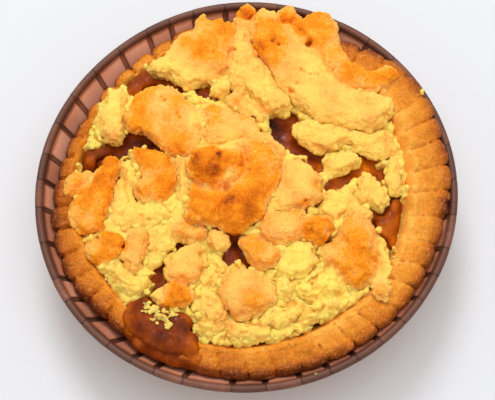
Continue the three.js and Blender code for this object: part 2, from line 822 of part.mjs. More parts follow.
    name: "crumble_left_pale",
    toast: 0.15,
    lift: -0.2,
    plan: [
      [-25.5, -13], [-19.5, -12], [-16.5, -15.5], [-19, -20], [-21, -23.3], [-24.5, -22.3],
      [-25.8, -18],
    ],
  },
  {
    name: "crumble_left_near_edge",
    toast: 0.1,
    lift: 0,
    plan: [
      [-36.3, -21.5], [-31.5, -21.5], [-27, -24.5], [-23.5, -26], [-26, -30], [-29.3, -31.5],
      [-32, -29.8], [-34, -25.8],
    ],
  },
  {
    name: "crumble_left_middle",
    toast: 0.1,
    lift: -0.3,
    spine: [[-30.5, 3.5], [-30.5, -5], [-24, -9.5]],
    plan: [
      [-32.8, 6], [-30, 6.5], [-28, 2], [-27, -3], [-24, -4], [-21, -6], [-18.5, -8.5],
      [-20, -12], [-26, -12.5], [-32.5, -12], [-35.5, -9], [-34.5, -4], [-33.5, 1],
    ],
  },
  {
    name: "crumble_middle_low",
    toast: 0.1,
    lift: -1,
    plan: [
      [-19.2, -8.6], [-17.5, -7.2], [-14.9, -6.4], [-14.1, -9.1], [-13.7, -11.8],
      [-16.1, -12.2], [-19, -11.3],
    ],
  },
  {
    name: "crumble_middle_pocket",
    toast: 0.4,
    lift: -0.7,
    plan: [
      [-18, 5.8], [-14, 6.3], [-12.5, 1], [-12.8, -4], [-15, -7], [-17.3, -4.5], [-16.8, -1],
      [-18, 1.5],
    ],
  },
  {
    name: "crumble_left_rim",
    toast: 0.05,
    lift: -0.5,
    plan: [
      [-42.4, 15.1], [-41.2, 17.4], [-39.2, 19], [-38, 18.8], [-38, 14.9], [-36.9, 12.3],
      [-38.3, 10.9], [-41.4, 11.4],
    ],
  },
  {
    name: "crumble_left_nugget",
    toast: 0.1,
    lift: -0.8,
    plan: [
      [-32.5, 5.4], [-31.9, 8.4], [-30, 9.5], [-28.3, 8.1], [-27.9, 4.5], [-29.6, 2.5],
      [-32, 2.9],
    ],
  },
];

// Pieces of apple: one that ran over the rim, and those that show between the lumps.
const APPLE = [
  {
    name: "apple_over_rim",
    lift: 1.0,
    overRim: true,
    smooth: 0.4,
    plan: [
      [-29.5, -33], [-26.5, -30.5], [-22, -33], [-16, -35], [-12.5, -38], [-12, -42],
      [-14.5, -46.3], [-20, -47.2], [-25, -44.3], [-29, -40], [-30.5, -36.5],
    ],
  },
  {
    name: "apple_far_left",
    lift: 0,
    smooth: 0.4,
    plan: [[-31.5, 26.5], [-31, 31], [-29, 34], [-26.5, 34.6], [-24, 32], [-25, 28], [-28, 25.5]],
  },
  {
    name: "apple_left",
    lift: -1.5,
    smooth: 0.4,
    plan: [[-42.5, 9], [-41, 12], [-39, 14.5], [-36, 12.5], [-35.5, 8.5], [-38, 5.5], [-42, 6]],
  },
  {
    name: "apple_right",
    lift: -1.8,
    smooth: 0.4,
    plan: [
      [33.5, -9.5], [36.5, -6], [39, -3.5], [42, -3], [42, -9], [40.3, -14.5], [37.5, -18.5],
      [35.8, -21.5], [34.8, -17], [33.5, -13],
    ],
  },
];

function meshOf(name, solid, material) {
  const { vertProperties, triVerts } = solid.getMesh();
  const geometry = new THREE.BufferGeometry();
  geometry.setAttribute("position", new THREE.BufferAttribute(vertProperties, 3));
  geometry.setIndex(new THREE.BufferAttribute(triVerts, 1));
  const mesh = new THREE.Mesh(mergeVertices(geometry), material);
  mesh.geometry.computeVertexNormals();
  mesh.position.set(-CENTRE[0], -CENTRE[1], 0);
  mesh.name = name;
  return mesh;
}

const paint = (color, roughness) =>
  new THREE.MeshStandardMaterial({ color, roughness, metalness: 0 });
const crumblePale = new THREE.Color(0xfbd872);
const crumbleBrown = new THREE.Color(0xb0591c);

const tartlet = new THREE.Group();
tartlet.add(meshOf("baking_case", caseSolid(), paint(0x6e4436, 0.75)));
tartlet.add(meshOf("pastry_shell", crustSolid(), paint(0xdc8a3c, 0.7)));
tartlet.add(meshOf("apple_filling", fillingSolid(), paint(0x7a3510, 0.3)));

const rim = rimAllowance();
const taken = [];
for (const [seed, piece] of [...CRUMBLE, ...APPLE].entries()) {
  const whole = lumpSolid(piece, seed);
  const clear = piece.overRim ? whole.subtract(rim) : whole;
  const body = mainBody(taken.reduce((left, room) => left.subtract(room), clear));
  taken.push(lumpRoom(piece));
  const colour =
    piece.toast === undefined
      ? new THREE.Color(0x8f4312)
      : crumblePale.clone().lerp(crumbleBrown, piece.toast);
  tartlet.add(meshOf(piece.name, body, paint(colour, piece.toast === undefined ? 0.3 : 0.85)));
}

export default tartlet;
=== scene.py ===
import bisect
import math
import random

import bmesh
import bpy
import numpy as np
from mathutils import Matrix, Vector, noise
from mathutils.bvhtree import BVHTree


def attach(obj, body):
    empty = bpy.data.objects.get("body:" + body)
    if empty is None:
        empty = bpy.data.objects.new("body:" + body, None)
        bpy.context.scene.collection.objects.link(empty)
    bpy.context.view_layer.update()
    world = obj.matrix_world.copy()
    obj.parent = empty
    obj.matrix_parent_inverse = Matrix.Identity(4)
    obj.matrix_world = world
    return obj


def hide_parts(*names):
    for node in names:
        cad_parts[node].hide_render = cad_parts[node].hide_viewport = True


# An apple crumble tartlet in its paper case. Shapes are worked out in millimetres and scaled once.

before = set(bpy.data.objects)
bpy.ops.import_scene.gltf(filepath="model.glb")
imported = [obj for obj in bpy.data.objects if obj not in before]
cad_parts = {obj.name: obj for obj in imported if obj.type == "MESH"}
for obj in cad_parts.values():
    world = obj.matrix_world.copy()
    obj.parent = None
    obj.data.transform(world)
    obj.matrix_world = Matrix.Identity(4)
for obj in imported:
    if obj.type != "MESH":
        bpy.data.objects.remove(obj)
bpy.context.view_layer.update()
mm = 0.001
aloft = 60  # mm, higher than anything on the tartlet
crumbleNodes = sorted(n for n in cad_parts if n.startswith("crumble_"))
noise.seed_set(11)  # otherwise noise vectors differ from run to run


def placed(name, data):
    thing = bpy.data.objects.new(name, data)
    bpy.context.scene.collection.objects.link(thing)
    return thing


def meshOf(bm, name):
    mesh = bpy.data.meshes.new(name)
    bm.to_mesh(mesh)
    bm.free()
    return mesh


def bmeshOf(mesh):
    bm = bmesh.new()
    bm.from_mesh(mesh)
    bpy.data.meshes.remove(mesh)
    return bm


# Camera, light and floor.

studio = {
    "target": (0.232, -3.44, 23),  # the point the camera looks at, mm
    "elevation": 67.297,
    "distance": 420,
    "lens": 118.12,
    "clip": (0.01, 10),  # m
    "floorSize": 4,  # m
    "floorColor": (0.68, 0.7, 0.74),
    "floorRoughness": 0.75,
    "skyColor": (1, 0.985, 0.96),
    "skyStrength": 0.64,
    # place in m, size in m, power and colour
    "lights": {
        "overhead": ((0.06, -0.05, 1.2), 1.2, 5.9, (1, 0.99, 0.97)),
        "window": ((-0.14, 0.72, 1.15), 0.5, 7.4, (1, 1, 1)),
    },
}


def makeStudio(look):
    scene = bpy.context.scene
    scene.view_settings.view_transform = "Standard"
    rise = math.radians(look["elevation"])
    back = Vector((0, -math.cos(rise), math.sin(rise)))
    target = Vector(look["target"]) * mm
    camera = placed("camera", bpy.data.cameras.new("camera"))
    camera.data.lens = look["lens"]
    camera.data.clip_start, camera.data.clip_end = look["clip"]
    camera.location = target + back * look["distance"] * mm
    camera.rotation_euler = (-back).to_track_quat("-Z", "Y").to_euler()
    scene.camera = camera

    for name, (place, size, power, color) in look["lights"].items():
        light = placed(name, bpy.data.lights.new(name, "AREA"))
        light.data.shape = "DISK"
        light.data.size = size
        light.data.energy = power
        light.data.color = color
        light.location = place
        light.rotation_euler = (target - light.location).to_track_quat("-Z", "Y").to_euler()

    world = bpy.data.worlds.new("sky")
    world.use_nodes = True
    sky = world.node_tree.nodes["Background"]
    sky.inputs["Color"].default_value = (*look["skyColor"], 1)
    sky.inputs["Strength"].default_value = look["skyStrength"]
    scene.world = world


# Shader maths.


class Value:
    # wraps a node's output, so that sums written on it add Math nodes

    def __init__(self, tree, socket):
        self.tree = tree
        self.socket = socket

    def math(self, operation, other):
        return addNode(self.tree, "ShaderNodeMath", {0: self, 1: other}, {"operation": operation})

    def __add__(self, other):
        return self.math("ADD", other)

    def __sub__(self, other):
        return self.math("SUBTRACT", other)

    def __mul__(self, other):
        return self.math("MULTIPLY", other)


def addNode(tree, kind, inputs=None, settings=None, output=0):
    node = tree.nodes.new(kind)
    for name, setting in (settings or {}).items():
        setattr(node, name, setting)
    for name, given in (inputs or {}).items():
        if isinstance(given, Value):
            tree.links.new(given.socket, node.inputs[name])
        elif node.inputs[name].type == "RGBA":
            node.inputs[name].default_value = (*given, 1)
        else:
            node.inputs[name].default_value = given
    return Value(tree, node.outputs[output])


def fromScreen(color):
    # a colour as seen on a screen, 0 to 255, in the renderer's linear numbers
    shares = (part / 255 for part in color)
    return tuple(c / 12.92 if c <= 0.04045 else ((c + 0.055) / 1.055) ** 2.4 for c in shares)


def grain(tree, place, size, detail):
    # noise whose blotches are about size millimetres across
    inputs = {"Vector": place, "Scale": 1 / (size * mm), "Detail": detail, "Roughness": 0.55}
    return addNode(tree, "ShaderNodeTexNoise", inputs)


def between(value, low, high, toLow=0.0, toHigh=1.0):
    inputs = {0: value, 1: low, 2: high, 3: toLow, 4: toHigh}
    return addNode(value.tree, "ShaderNodeMapRange", inputs)


def attribute(tree, name):
    return addNode(tree, "ShaderNodeAttribute", None, {"attribute_name": name}, "Fac")


def mixColor(share, first, second):
    # a colour, and a second one over it as seen on a screen
    inputs = {0: share, 6: first, 7: fromScreen(second)}
    return addNode(share.tree, "ShaderNodeMix", inputs, {"data_type": "RGBA"}, 2)


def ramp(value, stops):
    result = addNode(value.tree, "ShaderNodeValToRGB", {"Fac": value})
    elements = result.socket.node.color_ramp.elements
    while len(elements) < len(stops):
        elements.new(0.5)
    for element, (place, color) in zip(elements, stops):
        element.position = place
        element.color = (*fromScreen(color), 1)
    return result


# Materials. Each noise is given as mm across and detail, each colour as seen on a screen.

finishInputs = (
    "Roughness", "Specular IOR Level", "Subsurface Weight", "Subsurface Radius",
    "Subsurface Scale", "Coat Roughness",
)

crumbleLook = {
    "noises": {"blotch": (3.2, 3), "sand": (0.55, 2), "speck": (0.9, 1), "fine": (0.28, 1)},
    "uneven": {"blotch": 0.34, "sand": 0.36},  # how much browner or paler a noise makes it
    # how it colours as it bakes, from raw to brown
    "stops": [
        (0, (255, 220, 106)), (0.3, (255, 203, 99)), (0.5, (255, 182, 90)),
        (0.66, (248, 154, 24)), (0.84, (220, 116, 6)), (1, (158, 68, 8)),
    ],
    # painted shade: the amber colour put into crevices, on sides and undersides, and below the
    # lumps round it
    "shadesAndKraft": (0.6, (226, 138, 20)),
    "spots": ("speck", 0.66, 0.74, 0.3, (196, 104, 30)),
    "relief": {"sand": 0.6, "fine": 0.4},
    "bump": (0.55, 0.8),  # mm and strength
    "finish": (0.82, 0.18, 0.6, (1, 0.6, 0.2), 2.2 * mm),
}

crustLook = {
    "noises": {
        "blotch": (7, 3), "mottle": (1.8, 3), "sand": (0.5, 2), "hole": (0.8, 2),
        "sugar": (0.7, 2),
    },
    "uneven": {"blotch": 0.3, "mottle": 0.22, "sand": 0.34},
    "stops": [
        (0, (248, 178, 74)), (0.3, (225, 141, 33)), (0.55, (198, 109, 17)),
        (0.8, (154, 73, 9)), (1, (110, 44, 6)),
    ],
    # painted shade in the creases, darkest in their holes
    "shadesAndKraft": (1, (142, 64, 16)),
    "holes": (0.5, 0.62, 0.3, 1),  # the noise's range, and how strongly the painted crease shade shows, from beside the holes to in them
    "spots": ("sugar", 0.54, 0.7, 0.26, (252, 196, 118)),
    "relief": {"sand": 0.8, "mottle": 0.6},
    "bump": (0.6, 0.8),
    "finish": (0.62, 0.22, 0.15, (1, 0.5, 0.2), 0.8 * mm),
}

appleLook = {
    "noises": {"flesh": (7, 3), "fibre": (1.6, 3), "fine": (0.7, 2), "wet": (1.4, 2)},
    "uneven": {"flesh": 0.8, "fibre": 0.3},
    "stops": [
        (0, (236, 148, 18)), (0.3, (194, 98, 6)), (0.6, (136, 54, 3)), (0.85, (86, 29, 3)),
        (1, (60, 19, 3)),
    ],
    "wet": (0.54, 0.66),
    "wetByTone": (0.55, 0.85, 0.45, 0.1),  # the darkest apple glints the least
    "relief": {"fibre": 1, "fine": 0.3},
    "bump": (0.8, 0.5),
    "finish": (0.45, 0.1, 0.15, (1, 0.35, 0.1), 1.2 * mm, 0.12),
}

paperLook = {
    "noises": {"cloud": (9, 2), "fibre": (0.6, 3)},
    "uneven": {"cloud": 0.25, "fibre": 0.16},
    "stops": [
        (0, (250, 184, 154)), (0.3, (202, 130, 98)), (0.65, (106, 64, 48)),
        (1, (56, 28, 18)),
    ],
    "shadesAndKraft": (1, (212, 146, 82)),  # its kraft outside
    "relief": {"fibre": 1},
    "bump": (0.12, 0.3),
    "finish": (0.48, 0.32),
}


def makeMaterial(name, look):
    # a colour that follows how toasted it is, with painted shade in its hollows (on paper the
    # kraft outside instead), spots, relief and glints
    material = bpy.data.materials.new(name)
    material.use_nodes = True
    tree = material.node_tree
    place = addNode(tree, "ShaderNodeTexCoord", output="Object")
    noises = {key: grain(tree, place, *noise) for key, noise in look["noises"].items()}
    tone = attribute(tree, "toast")
    for key, amount in look["uneven"].items():
        tone = tone + (noises[key] - 0.5) * amount
    color = ramp(tone, look["stops"])
    # the second colour, mixed in by a mesh attribute: painted shade on crumble and crust, the
    # kraft outside (its own colour) on paper
    if "shadesAndKraft" in look:
        strength, shadeAndKraftColor = look["shadesAndKraft"]
        shadeAndKraft = attribute(tree, "shadeAndKraft") * strength
        if "holes" in look:
            shadeAndKraft = shadeAndKraft * between(noises["hole"], *look["holes"])
        color = mixColor(shadeAndKraft, color, shadeAndKraftColor)
    if "spots" in look:
        key, low, high, strength, spotColor = look["spots"]
        color = mixColor(between(noises[key], low, high) * strength, color, spotColor)
    first, *others = (noises[key] * share for key, share in look["relief"].items())
    distance, strength = look["bump"]
    inputs = {"Height": sum(others, first), "Distance": distance * mm, "Strength": strength}
    links = {"Base Color": color, "Normal": addNode(tree, "ShaderNodeBump", inputs)}
    if "wet" in look:
        byTone = between(attribute(tree, "toast"), *look["wetByTone"])
        links["Coat Weight"] = between(noises["wet"], *look["wet"]) * byTone
    shader = tree.nodes["Principled BSDF"]
    for key, value in links.items():
        tree.links.new(value.socket, shader.inputs[key])
    for key, value in zip(finishInputs, look["finish"]):
        shader.inputs[key].default_value = value
    return material


def makeFloor(look):
    material = bpy.data.materials.new("paleFloor")
    material.use_nodes = True
    shader = material.node_tree.nodes["Principled BSDF"]
    shader.inputs["Base Color"].default_value = (*look["floorColor"], 1)
    shader.inputs["Roughness"].default_value = look["floorRoughness"]
    bm = bmesh.new()
    bmesh.ops.create_grid(bm, x_segments=1, y_segments=1, size=look["floorSize"] / 2)
    floor = placed("floor", meshOf(bm, "floor"))
    floor.data.materials.append(material)


# Mesh helpers.


def curve(a, b, c, d, t):
    # a smooth line from b to c, with a before them and d after
    return b + 0.5 * t * (c - a + t * (2 * a - 5 * b + 4 * c - d + t * (3 * (b - c) + d - a)))


def around(values, angle):
    # a smooth value at an angle in degrees, from equally spaced ones
    n = len(values)
    place = (angle % 360) / 360 * n
    i = int(place)
    return curve(*(values[(i + k) % n] for k in (-1, 0, 1, 2)), place - i)


def smoothStep(low, high, x):
    t = min(1, max(0, (x - low) / (high - low)))
    return t * t * (3 - 2 * t)


def nodeCopy(*names):
    # a merged copy of the CAD nodes' meshes, in millimetres
    bm = bmesh.new()
    for name in names:
        bm.from_mesh(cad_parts[name].data)
    bmesh.ops.scale(bm, vec=Vector((1, 1, 1)) / mm, verts=bm.verts)
    bmesh.ops.remove_doubles(bm, verts=bm.verts, dist=0.01)
    return bm


def voxelMesh(bm, name, voxel, smoothing):
    # the outer skin of everything in a bmesh, as one even mesh
    raw = meshOf(bm, name + "Raw")
    holder = placed(name + "Raw", raw)
    remesh = holder.modifiers.new("remesh", "REMESH")
    remesh.mode = "VOXEL"
    remesh.voxel_size = voxel
    smooth = holder.modifiers.new("smooth", "SMOOTH")
    smooth.iterations = smoothing
    bpy.context.view_layer.update()
    seen = holder.evaluated_get(bpy.context.evaluated_depsgraph_get())
    mesh = bpy.data.meshes.new_from_object(seen)
    mesh.name = name
    bpy.data.objects.remove(holder)
    bpy.data.meshes.remove(raw)
    return mesh


def ballMesh(subdivisions):
    bm = bmesh.new()
    bmesh.ops.create_icosphere(bm, subdivisions=subdivisions, radius=1)
    return meshOf(bm, "ball")


def addBall(bm, ball, matrix):
    # one more copy of a ball, placed and stretched
    ball.transform(matrix)
    bm.from_mesh(ball)
    ball.transform(matrix.inverted())


def pointsOf(mesh):
    places = np.empty(len(mesh.vertices) * 3)
    mesh.vertices.foreach_get("co", places)
    normals = np.empty(len(mesh.vertices) * 3)
    mesh.vertices.foreach_get("normal", normals)
    return places.reshape(-1, 3), normals.reshape(-1, 3)


def setValues(mesh, name, values):
    layer = mesh.attributes.new(name, "FLOAT", "POINT")
    layer.data.foreach_set("value", np.asarray(values, dtype=np.float32))


def makePiece(mesh, name, material, nodes=()):
    # a finished piece in metres, standing in for the CAD nodes it shows
    mesh.transform(Matrix.Scale(mm, 4))
    mesh.polygons.foreach_set("use_smooth", [True] * len(mesh.polygons))
    mesh.update()
    mesh.materials.append(material)
    piece = placed(name, mesh)
    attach(piece, "root")
    if nodes:
        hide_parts(*nodes)


def closedMesh(bm, name, toasts, shadesAndKraft):
    # a bmesh with its ends filled, and what its material reads
    bmesh.ops.holes_fill(bm, edges=[e for e in bm.edges if e.is_boundary], sides=0)
    bmesh.ops.recalc_face_normals(bm, faces=bm.faces)
    mesh = meshOf(bm, name)
    setValues(mesh, "toast", toasts)
    setValues(mesh, "shadeAndKraft", shadesAndKraft)
    return mesh


def surfaceTree(names):
    # named objects in one search tree, in mm, and whose each face is
    corners, faces, owners = [], [], []
    for name in names:
        mesh = bpy.data.objects[name].data
        start = len(corners)
        corners.extend(v.co / mm for v in mesh.vertices)
        faces.extend([start + v for v in p.vertices] for p in mesh.polygons)
        owners.extend([name] * len(mesh.polygons))
    return BVHTree.FromPolygons(corners, faces), owners


def topUnder(tree, x, y):
    # the highest point at a place, and its face
    point, _, face, _ = tree.ray_cast(Vector((x, y, aloft)), Vector((0, 0, -1)))
    return point, face


def packed(point, size, seed):
    # grains packed side by side: 1 on the middle of one, near 0 between two
    reach = 0.82  # how far from its middle a grain ends, in sizes
    near = noise.voronoi(point / size + Vector((seed, seed * 0.7, -seed)))[0][0]
    return math.sqrt(max(0, 1 - (near / reach) ** 2))


# Crumble.

crumble = {
    # lumps that have run together in the oven
    "masses": {
        "greatSlabs": "great_slab ridge_slab far_wedge",
        "farCrust": "far_left far_middle far_nub far_step",
        "leftSlabs": "left_slab middle_slab",
        "middleCrust": "centre brown_cap",
        "leftRidges": "left_ridge left_edge",
        "leftCrumbs": "left_middle middle_low",
        "leftPales": "left_pale near_peach_left",
        "nearCrumbs": "near_left_drift near_left_heap near_crumbs",
        "nearStrips": "near_strip rim_curb",
        "nearRightCrust": "near_right_ridge right_edge near_right_rubble rim_strip",
        "nearLeftCrust": "near_left_lobe near_fan",
        "rightShelf": "near_right_shelf right_knob",
    },
    "firstVoxel": 0.4,
    "rounding": 7,
    "knit": (0.36, 2),  # voxel and smoothing where lumps touch
    "swell": 0.5,  # mm that a lump grows towards its neighbours
    "shrink": 0.3,  # mm that it draws back where apple shows beside it
    "gapStrength": 1.2,
    "shoulder": (2.2, 1.7),  # how far in from its edge a top falls, and how much
    "heave": (6, 1.3, 0.3),  # mm between a top's rises, their height, and its lift
    "roll": (2.6, 0.45),
    "sway": (3.6, 0.9),  # the same sideways, which makes the outlines uneven
    "voxel": 0.3,
    "smoothing": 1,
    "stuckEvery": (2.6, 1.2),  # mm2 of side for a grain, and how many less where loose
    "stuckRadius": (0.32, 0.78),
    "stuckDepth": 0.1,
    "grainSizes": (3.4, 1.5, 0.75),  # mm across, from the crumbs to the sand on them
    "grainHeights": (1.05, 0.8, 0.42),
    "grainMiddle": 0.75,  # the part of a grain that is level with the surface
    "warp": (2.2, 0.5),
    "topSlope": (0.45, 0.9),  # how level a surface is where a top begins, and is whole
    "patches": (5, 0.2),  # mm across, and how much browner or paler
    "crestToast": (0.05, -2.5, 1.2),  # for each mm above the lumps beside it, and its range
    "sunk": (1.2, 3, 0.35),  # mm below them where shade starts, mm to its full, depth
    "creviceShade": (0.55, 1.2, 0.7),  # painted shade in crevices: the most, and how much for the gaps of crumbs and of grains
    # painted shade on sides and undersides
    "undersideShade": 0.3,
    "pitDepth": 1.6,
    "pitToast": 0.35,
    "mapHalf": 52,
    "mapStep": 0.5,
    "mapBlur": {"levels": 4, "toasts": 1, "roughs": 2},  # squares
    # how toasted each lump is, and how rough its top
    "lumps": {
        "brown_cap": (0.82, 0.8), "centre": (0.65, 0.26), "far_nub": (0.6, 0.26),
        "far_wedge": (0.46, 0.26), "ridge_slab": (0.52, 0.16), "great_slab": (0.25, 0.14),
        "far_left": (0.48, 0.26), "far_middle": (0.22, 0.5), "left_slab": (0.5, 0.14),
        "middle_slab": (0.5, 0.12), "finger": (0.16, 0.28), "right_slab": (0.38, 0.14),
        "right_knob": (0.72, 0.6), "near_right_ridge": (0.53, 0.26), "near_peach": (0.42, 0.26),
        "left_brown": (0.62, 0.26), "left_ridge": (0.62, 0.26), "left_edge": (0.54, 0.26),
        "left_hook": (0.62, 0.26), "near_knob": (0.5, 0.26), "near_fan": (0.44, 0.26),
        "near_right_shelf": (0.42, 0.26), "near_peach_left": (0.48, 0.26),
        "left_bar": (0.46, 0.26), "near_left_lobe": (0.34, 0.26), "right_edge": (0.26, 0.26),
        "right_block": (0.22, 0.26), "right_strip": (0.22, 0.3), "right_tongue": (0.16, 0.26),
        "right_post": (0.3, 0.26), "right_cube": (0.12, 0.26), "far_pebble": (0.16, 0.8),
        "far_low": (0.06, 0.26), "far_step": (0.36, 0.6), "near_pebble": (0.34, 0.26),
        "near_flake": (0, 0.45), "near_right_rubble": (-0.1, 1.5), "near_pale": (0.04, 1.2),
        "near_strip": (0.08, 1.2), "rim_strip": (0, 1.3), "rim_curb": (0.14, 1.1),
        "near_left_heap": (0.22, 1.3), "near_left_drift": (0.02, 1.3), "near_crumbs": (0.02, 1.4),
        "left_pale": (0.14, 0.7), "left_near_edge": (0.12, 0.7), "left_middle": (0.12, 0.6),
        "middle_low": (0.12, 0.26), "middle_pocket": (0.3, 0.26), "left_rim": (0.08, 0.8),
        "left_nugget": (0.1, 0.26),
    },
    # places that are browner or paler, mostly from more heat or less, and two painted shade on
    # slopes away from the light: x, y, reach in mm and how much
    "spots": [
        (-12, 49, 3, 0.14), (-17, 42.5, 2.5, 0.12), (-12.8, 37, 2.8, 0.18), (-10.5, 34, 2, 0.16),
        (-22, 35, 5, -0.3), (-17, 30, 4, -0.26), (-12, 28, 3, -0.2), (-7, 46, 6, 0.16),
        (0, 47, 4, 0.14), (-3, 40, 4, 0.06), (-35, 11.5, 2.5, 0.36), (-34, 26, 3, -0.04),
        (-29.5, 15.5, 2.5, 0.16), (-29, 24, 3, 0.1), (-25, 11.5, 3, 0.1), (-17, 8, 3, 0.08),
        (-13.5, 17, 2.8, -0.25), (-9, 19.5, 2.5, 0.1), (-5, 8.5, 4.5, -0.4), (-12, 8, 3, -0.2),
        (4, 11, 3, -0.2), (3, 37, 2.6, 0.36), (7, 42, 6, 0.42), (8, 33, 3.6, 0.36),
        (11, 27, 2.6, 0.2), (13, 22.5, 2, 0.14), (11, 45, 4, 0.1), (20, 32, 4, -0.16),
        (33, 19, 4, 0.12), (26, 21, 4, 0.14), (17.5, 47, 4, 0.18), (20, 42, 3, 0.1),
        (16, 38.3, 1.2, 0.3), (33, 29.5, 3, 0.2), (38.5, 32, 3.5, 0.16), (28, 34, 4, 0.04),
        (-41, 1, 3, 0.06), (-34, -14, 3, 0.16), (-38, -18.5, 3, -0.16), (-27, -2, 3, -0.22),
        (-22, 3, 3, 0.08), (-17, -30, 4, 0.2), (-23, -31, 3, -0.08), (-20, -33, 2, 0.1),
        (-16, -22, 4, -0.02), (-5, -39.5, 2.5, 0.26), (28, -19.5, 4, 0.14), (29, -9, 3.5, -0.24),
        (22, -21, 3, -0.06), (34, -29, 3, 0.24), (0, -35, 3, 0.12), (6, -12, 3, 0.04),
        # (-4.6, -8.6) and (-12.5, -4.6) are painted shade on slopes that face away from the light
        (13, -12.5, 3, -0.1), (-1.5, -11, 4, 0.1), (-4.6, -8.6, 1.8, 0.14), (3, 4, 5, -0.06),
        (-4.2, -0.6, 1.8, -0.45), (-6.5, -2.5, 1.4, -0.3), (-13, 3, 2, 0.12),
        (-12.5, -4.6, 1.8, 0.1), (-6.9, 4, 1.3, 0.16), (18, -3, 2.5, 0.12), (8, -7, 3, -0.04),
        (15, -7, 1.5, 0.16), (16, -11, 1.5, -0.2), (20.4, -15, 1.4, -0.2),
    ],
    # rises and hollows of the tops: x, y, reach and height in mm
    "rises": [
        (-1.3, 7, 3, 1), (2.5, 4.5, 3.2, 1.5), (1.2, 0.5, 2.6, 1.5), (-0.5, -4.5, 2.4, 1.9),
        (-2.6, -9.5, 2.4, 1.8), (-4, -12.5, 1.8, 0.8), (-4.2, -0.6, 1.8, -1.8),
        (-5.6, -3.5, 1.8, -1.8), (-7.2, -7, 1.9, -1.8), (-7.5, -11, 1.6, -1.3),
        (-11.8, -8, 2.6, 1.2), (-11.4, 3.2, 2.6, 1.5), (-8.3, 1.5, 1.6, 0.8),
        (-11, -2.8, 1.8, -1.4), (7, 1, 2.5, -0.6), (4.5, -6, 2.2, -0.9), (-12.5, 36.8, 2.6, 1.2),
        (-18, 40, 3, 0.5), (-6, 44, 3, 0.6), (-10, 31, 2.4, -0.7), (3, 38, 3, 1),
        (7, 31.5, 3, 0.8), (11, 25.5, 2.4, 0.6), (13.5, 43, 1.6, -1.3), (15, 38.5, 1.6, -0.9),
        (17.5, 35, 1.8, -0.6), (28, -18, 3.6, 1.3), (29, -9.5, 3, 0.7), (-34, -14.5, 2.6, 1.1),
        (-37, 3, 3, 0.7), (-43, 0, 2.5, 0.5), (-40, -6, 3.5, 0.7), (18, -12.8, 2.3, 0.9),
        (16.4, -14.8, 1.3, -0.9), (26, 20, 6, -0.5), (35, 20, 4, 0.5), (-17, -30, 3.4, 0.9),
        (27, -14, 2.2, 0.8), (30, -22, 2, 0.8), (24.5, -17.5, 1.6, -0.9), (-21, 23, 2, -0.5),
        (-18, 17.8, 1.6, -0.6), (-12.2, 13.5, 1.6, -1.2), (-11, 16.5, 1.4, -0.8),
        (-25, 19, 4, 0.5), (-15, 12, 3, 0.4), (0, -28, 4, 0.6), (3, -19.5, 3, 0.6),
        (6.5, -12.5, 3, 0.5), (12, 0, 4, 0.4), (-22, 4, 2.6, 0.7), (-35, 20, 3, 0.5),
        (31.5, -1, 3, 0.5), (24.5, 4.5, 2.4, 0.5), (24, -5.5, 2.4, 0.4),
    ],
    # pits and cracks in the tops: x, y, reach and depth in mm
    "pits": [
        (16.3, 38.2, 0.8, 0.9), (7, 38.7, 0.5, 0.5), (8.5, 37.7, 0.45, 0.5),
        (14.2, 29.8, 0.5, 0.5), (15, 29.2, 0.4, 0.4), (16.6, 28.4, 0.45, 0.6),
        (17.8, 28.5, 0.4, 0.5), (18.9, 28.7, 0.4, 0.5), (13.1, 26.2, 0.5, 0.5),
        (11, 24.4, 0.6, 0.7), (11.7, 24, 0.45, 0.6), (22.4, 30.5, 0.35, 0.4),
        (21.6, 32.3, 0.35, 0.4), (20.4, 34.5, 0.35, 0.4), (31.5, 22, 0.4, 0.3),
        (-0.3, 41.5, 0.5, 0.4), (-22.3, 23, 0.4, 0.4), (-21.5, 22.2, 0.4, 0.5),
        (-18, 18.2, 0.45, 0.5), (-17.4, 17.2, 0.4, 0.5), (-9, 37, 0.4, 0.3), (-8.6, 6.8, 0.5, 0.5),
        (-6.9, 4.2, 0.5, 0.6), (7.4, -9.7, 0.45, 0.6), (8.6, -9.6, 0.45, 0.6),
        (9.8, -9.4, 0.4, 0.6), (11, -9.2, 0.4, 0.6), (12.2, -9, 0.4, 0.5), (13.4, -8.9, 0.4, 0.5),
        (15.3, -7.2, 0.6, 0.7),
    ],
}


def overSpots(spots, places):
    # the sum of round spots (x, y, reach, amount) at many places
    total = np.zeros(len(places))
    for x, y, reach, amount in spots:
        gap = (places[:, 0] - x) ** 2 + (places[:, 1] - y) ** 2
        total += amount * np.exp(-gap / reach**2)
    return total


def lumpLook(node, look=crumble):
    return look["lumps"][node.removeprefix("crumble_")]


def stickGrains(bm, rng, topShare, look=crumble):
    # small grains pressed into the sides of a lump, and fewer into its top
    ball = ballMesh(1)
    bm.faces.ensure_lookup_table()
    faces = [f for f in bm.faces if f.normal.z > -0.3]
    areas = [f.calc_area() * (1.0 if f.normal.z < 0.7 else topShare) for f in faces]
    every, less = look["stuckEvery"]
    count = int(sum(areas) / (every - less * topShare))
    places = []
    for face in rng.choices(faces, weights=areas, k=count):
        corners = [v.co for v in face.verts]
        weights = [rng.random() for _ in corners]
        total = sum(weights)
        spot = sum((c * (w / total) for c, w in zip(corners, weights)), Vector())
        places.append((spot - face.normal * look["stuckDepth"], face.normal.z))
    for spot, up in places:
        radius = rng.uniform(*look["stuckRadius"]) * (0.6 + 0.5 * topShare if up > 0.7 else 1)
        sides = (radius, radius * rng.uniform(0.7, 1), radius * rng.uniform(0.6, 0.9), 1)
        turn = Matrix.Rotation(rng.uniform(0, math.tau), 4, "Z")
        addBall(bm, ball, Matrix.Translation(spot) @ turn @ Matrix.Diagonal(sides))
    bpy.data.meshes.remove(ball)


def spread(values, weights, reach):
    # the weighted mean of a map within reach of each square
    total, count = values * weights, weights
    for axis in (0, 1, 0, 1):
        total = sum(np.roll(total, k, axis) for k in range(-reach, reach + 1))
        count = sum(np.roll(count, k, axis) for k in range(-reach, reach + 1))
    return total / np.maximum(count, 1e-6)


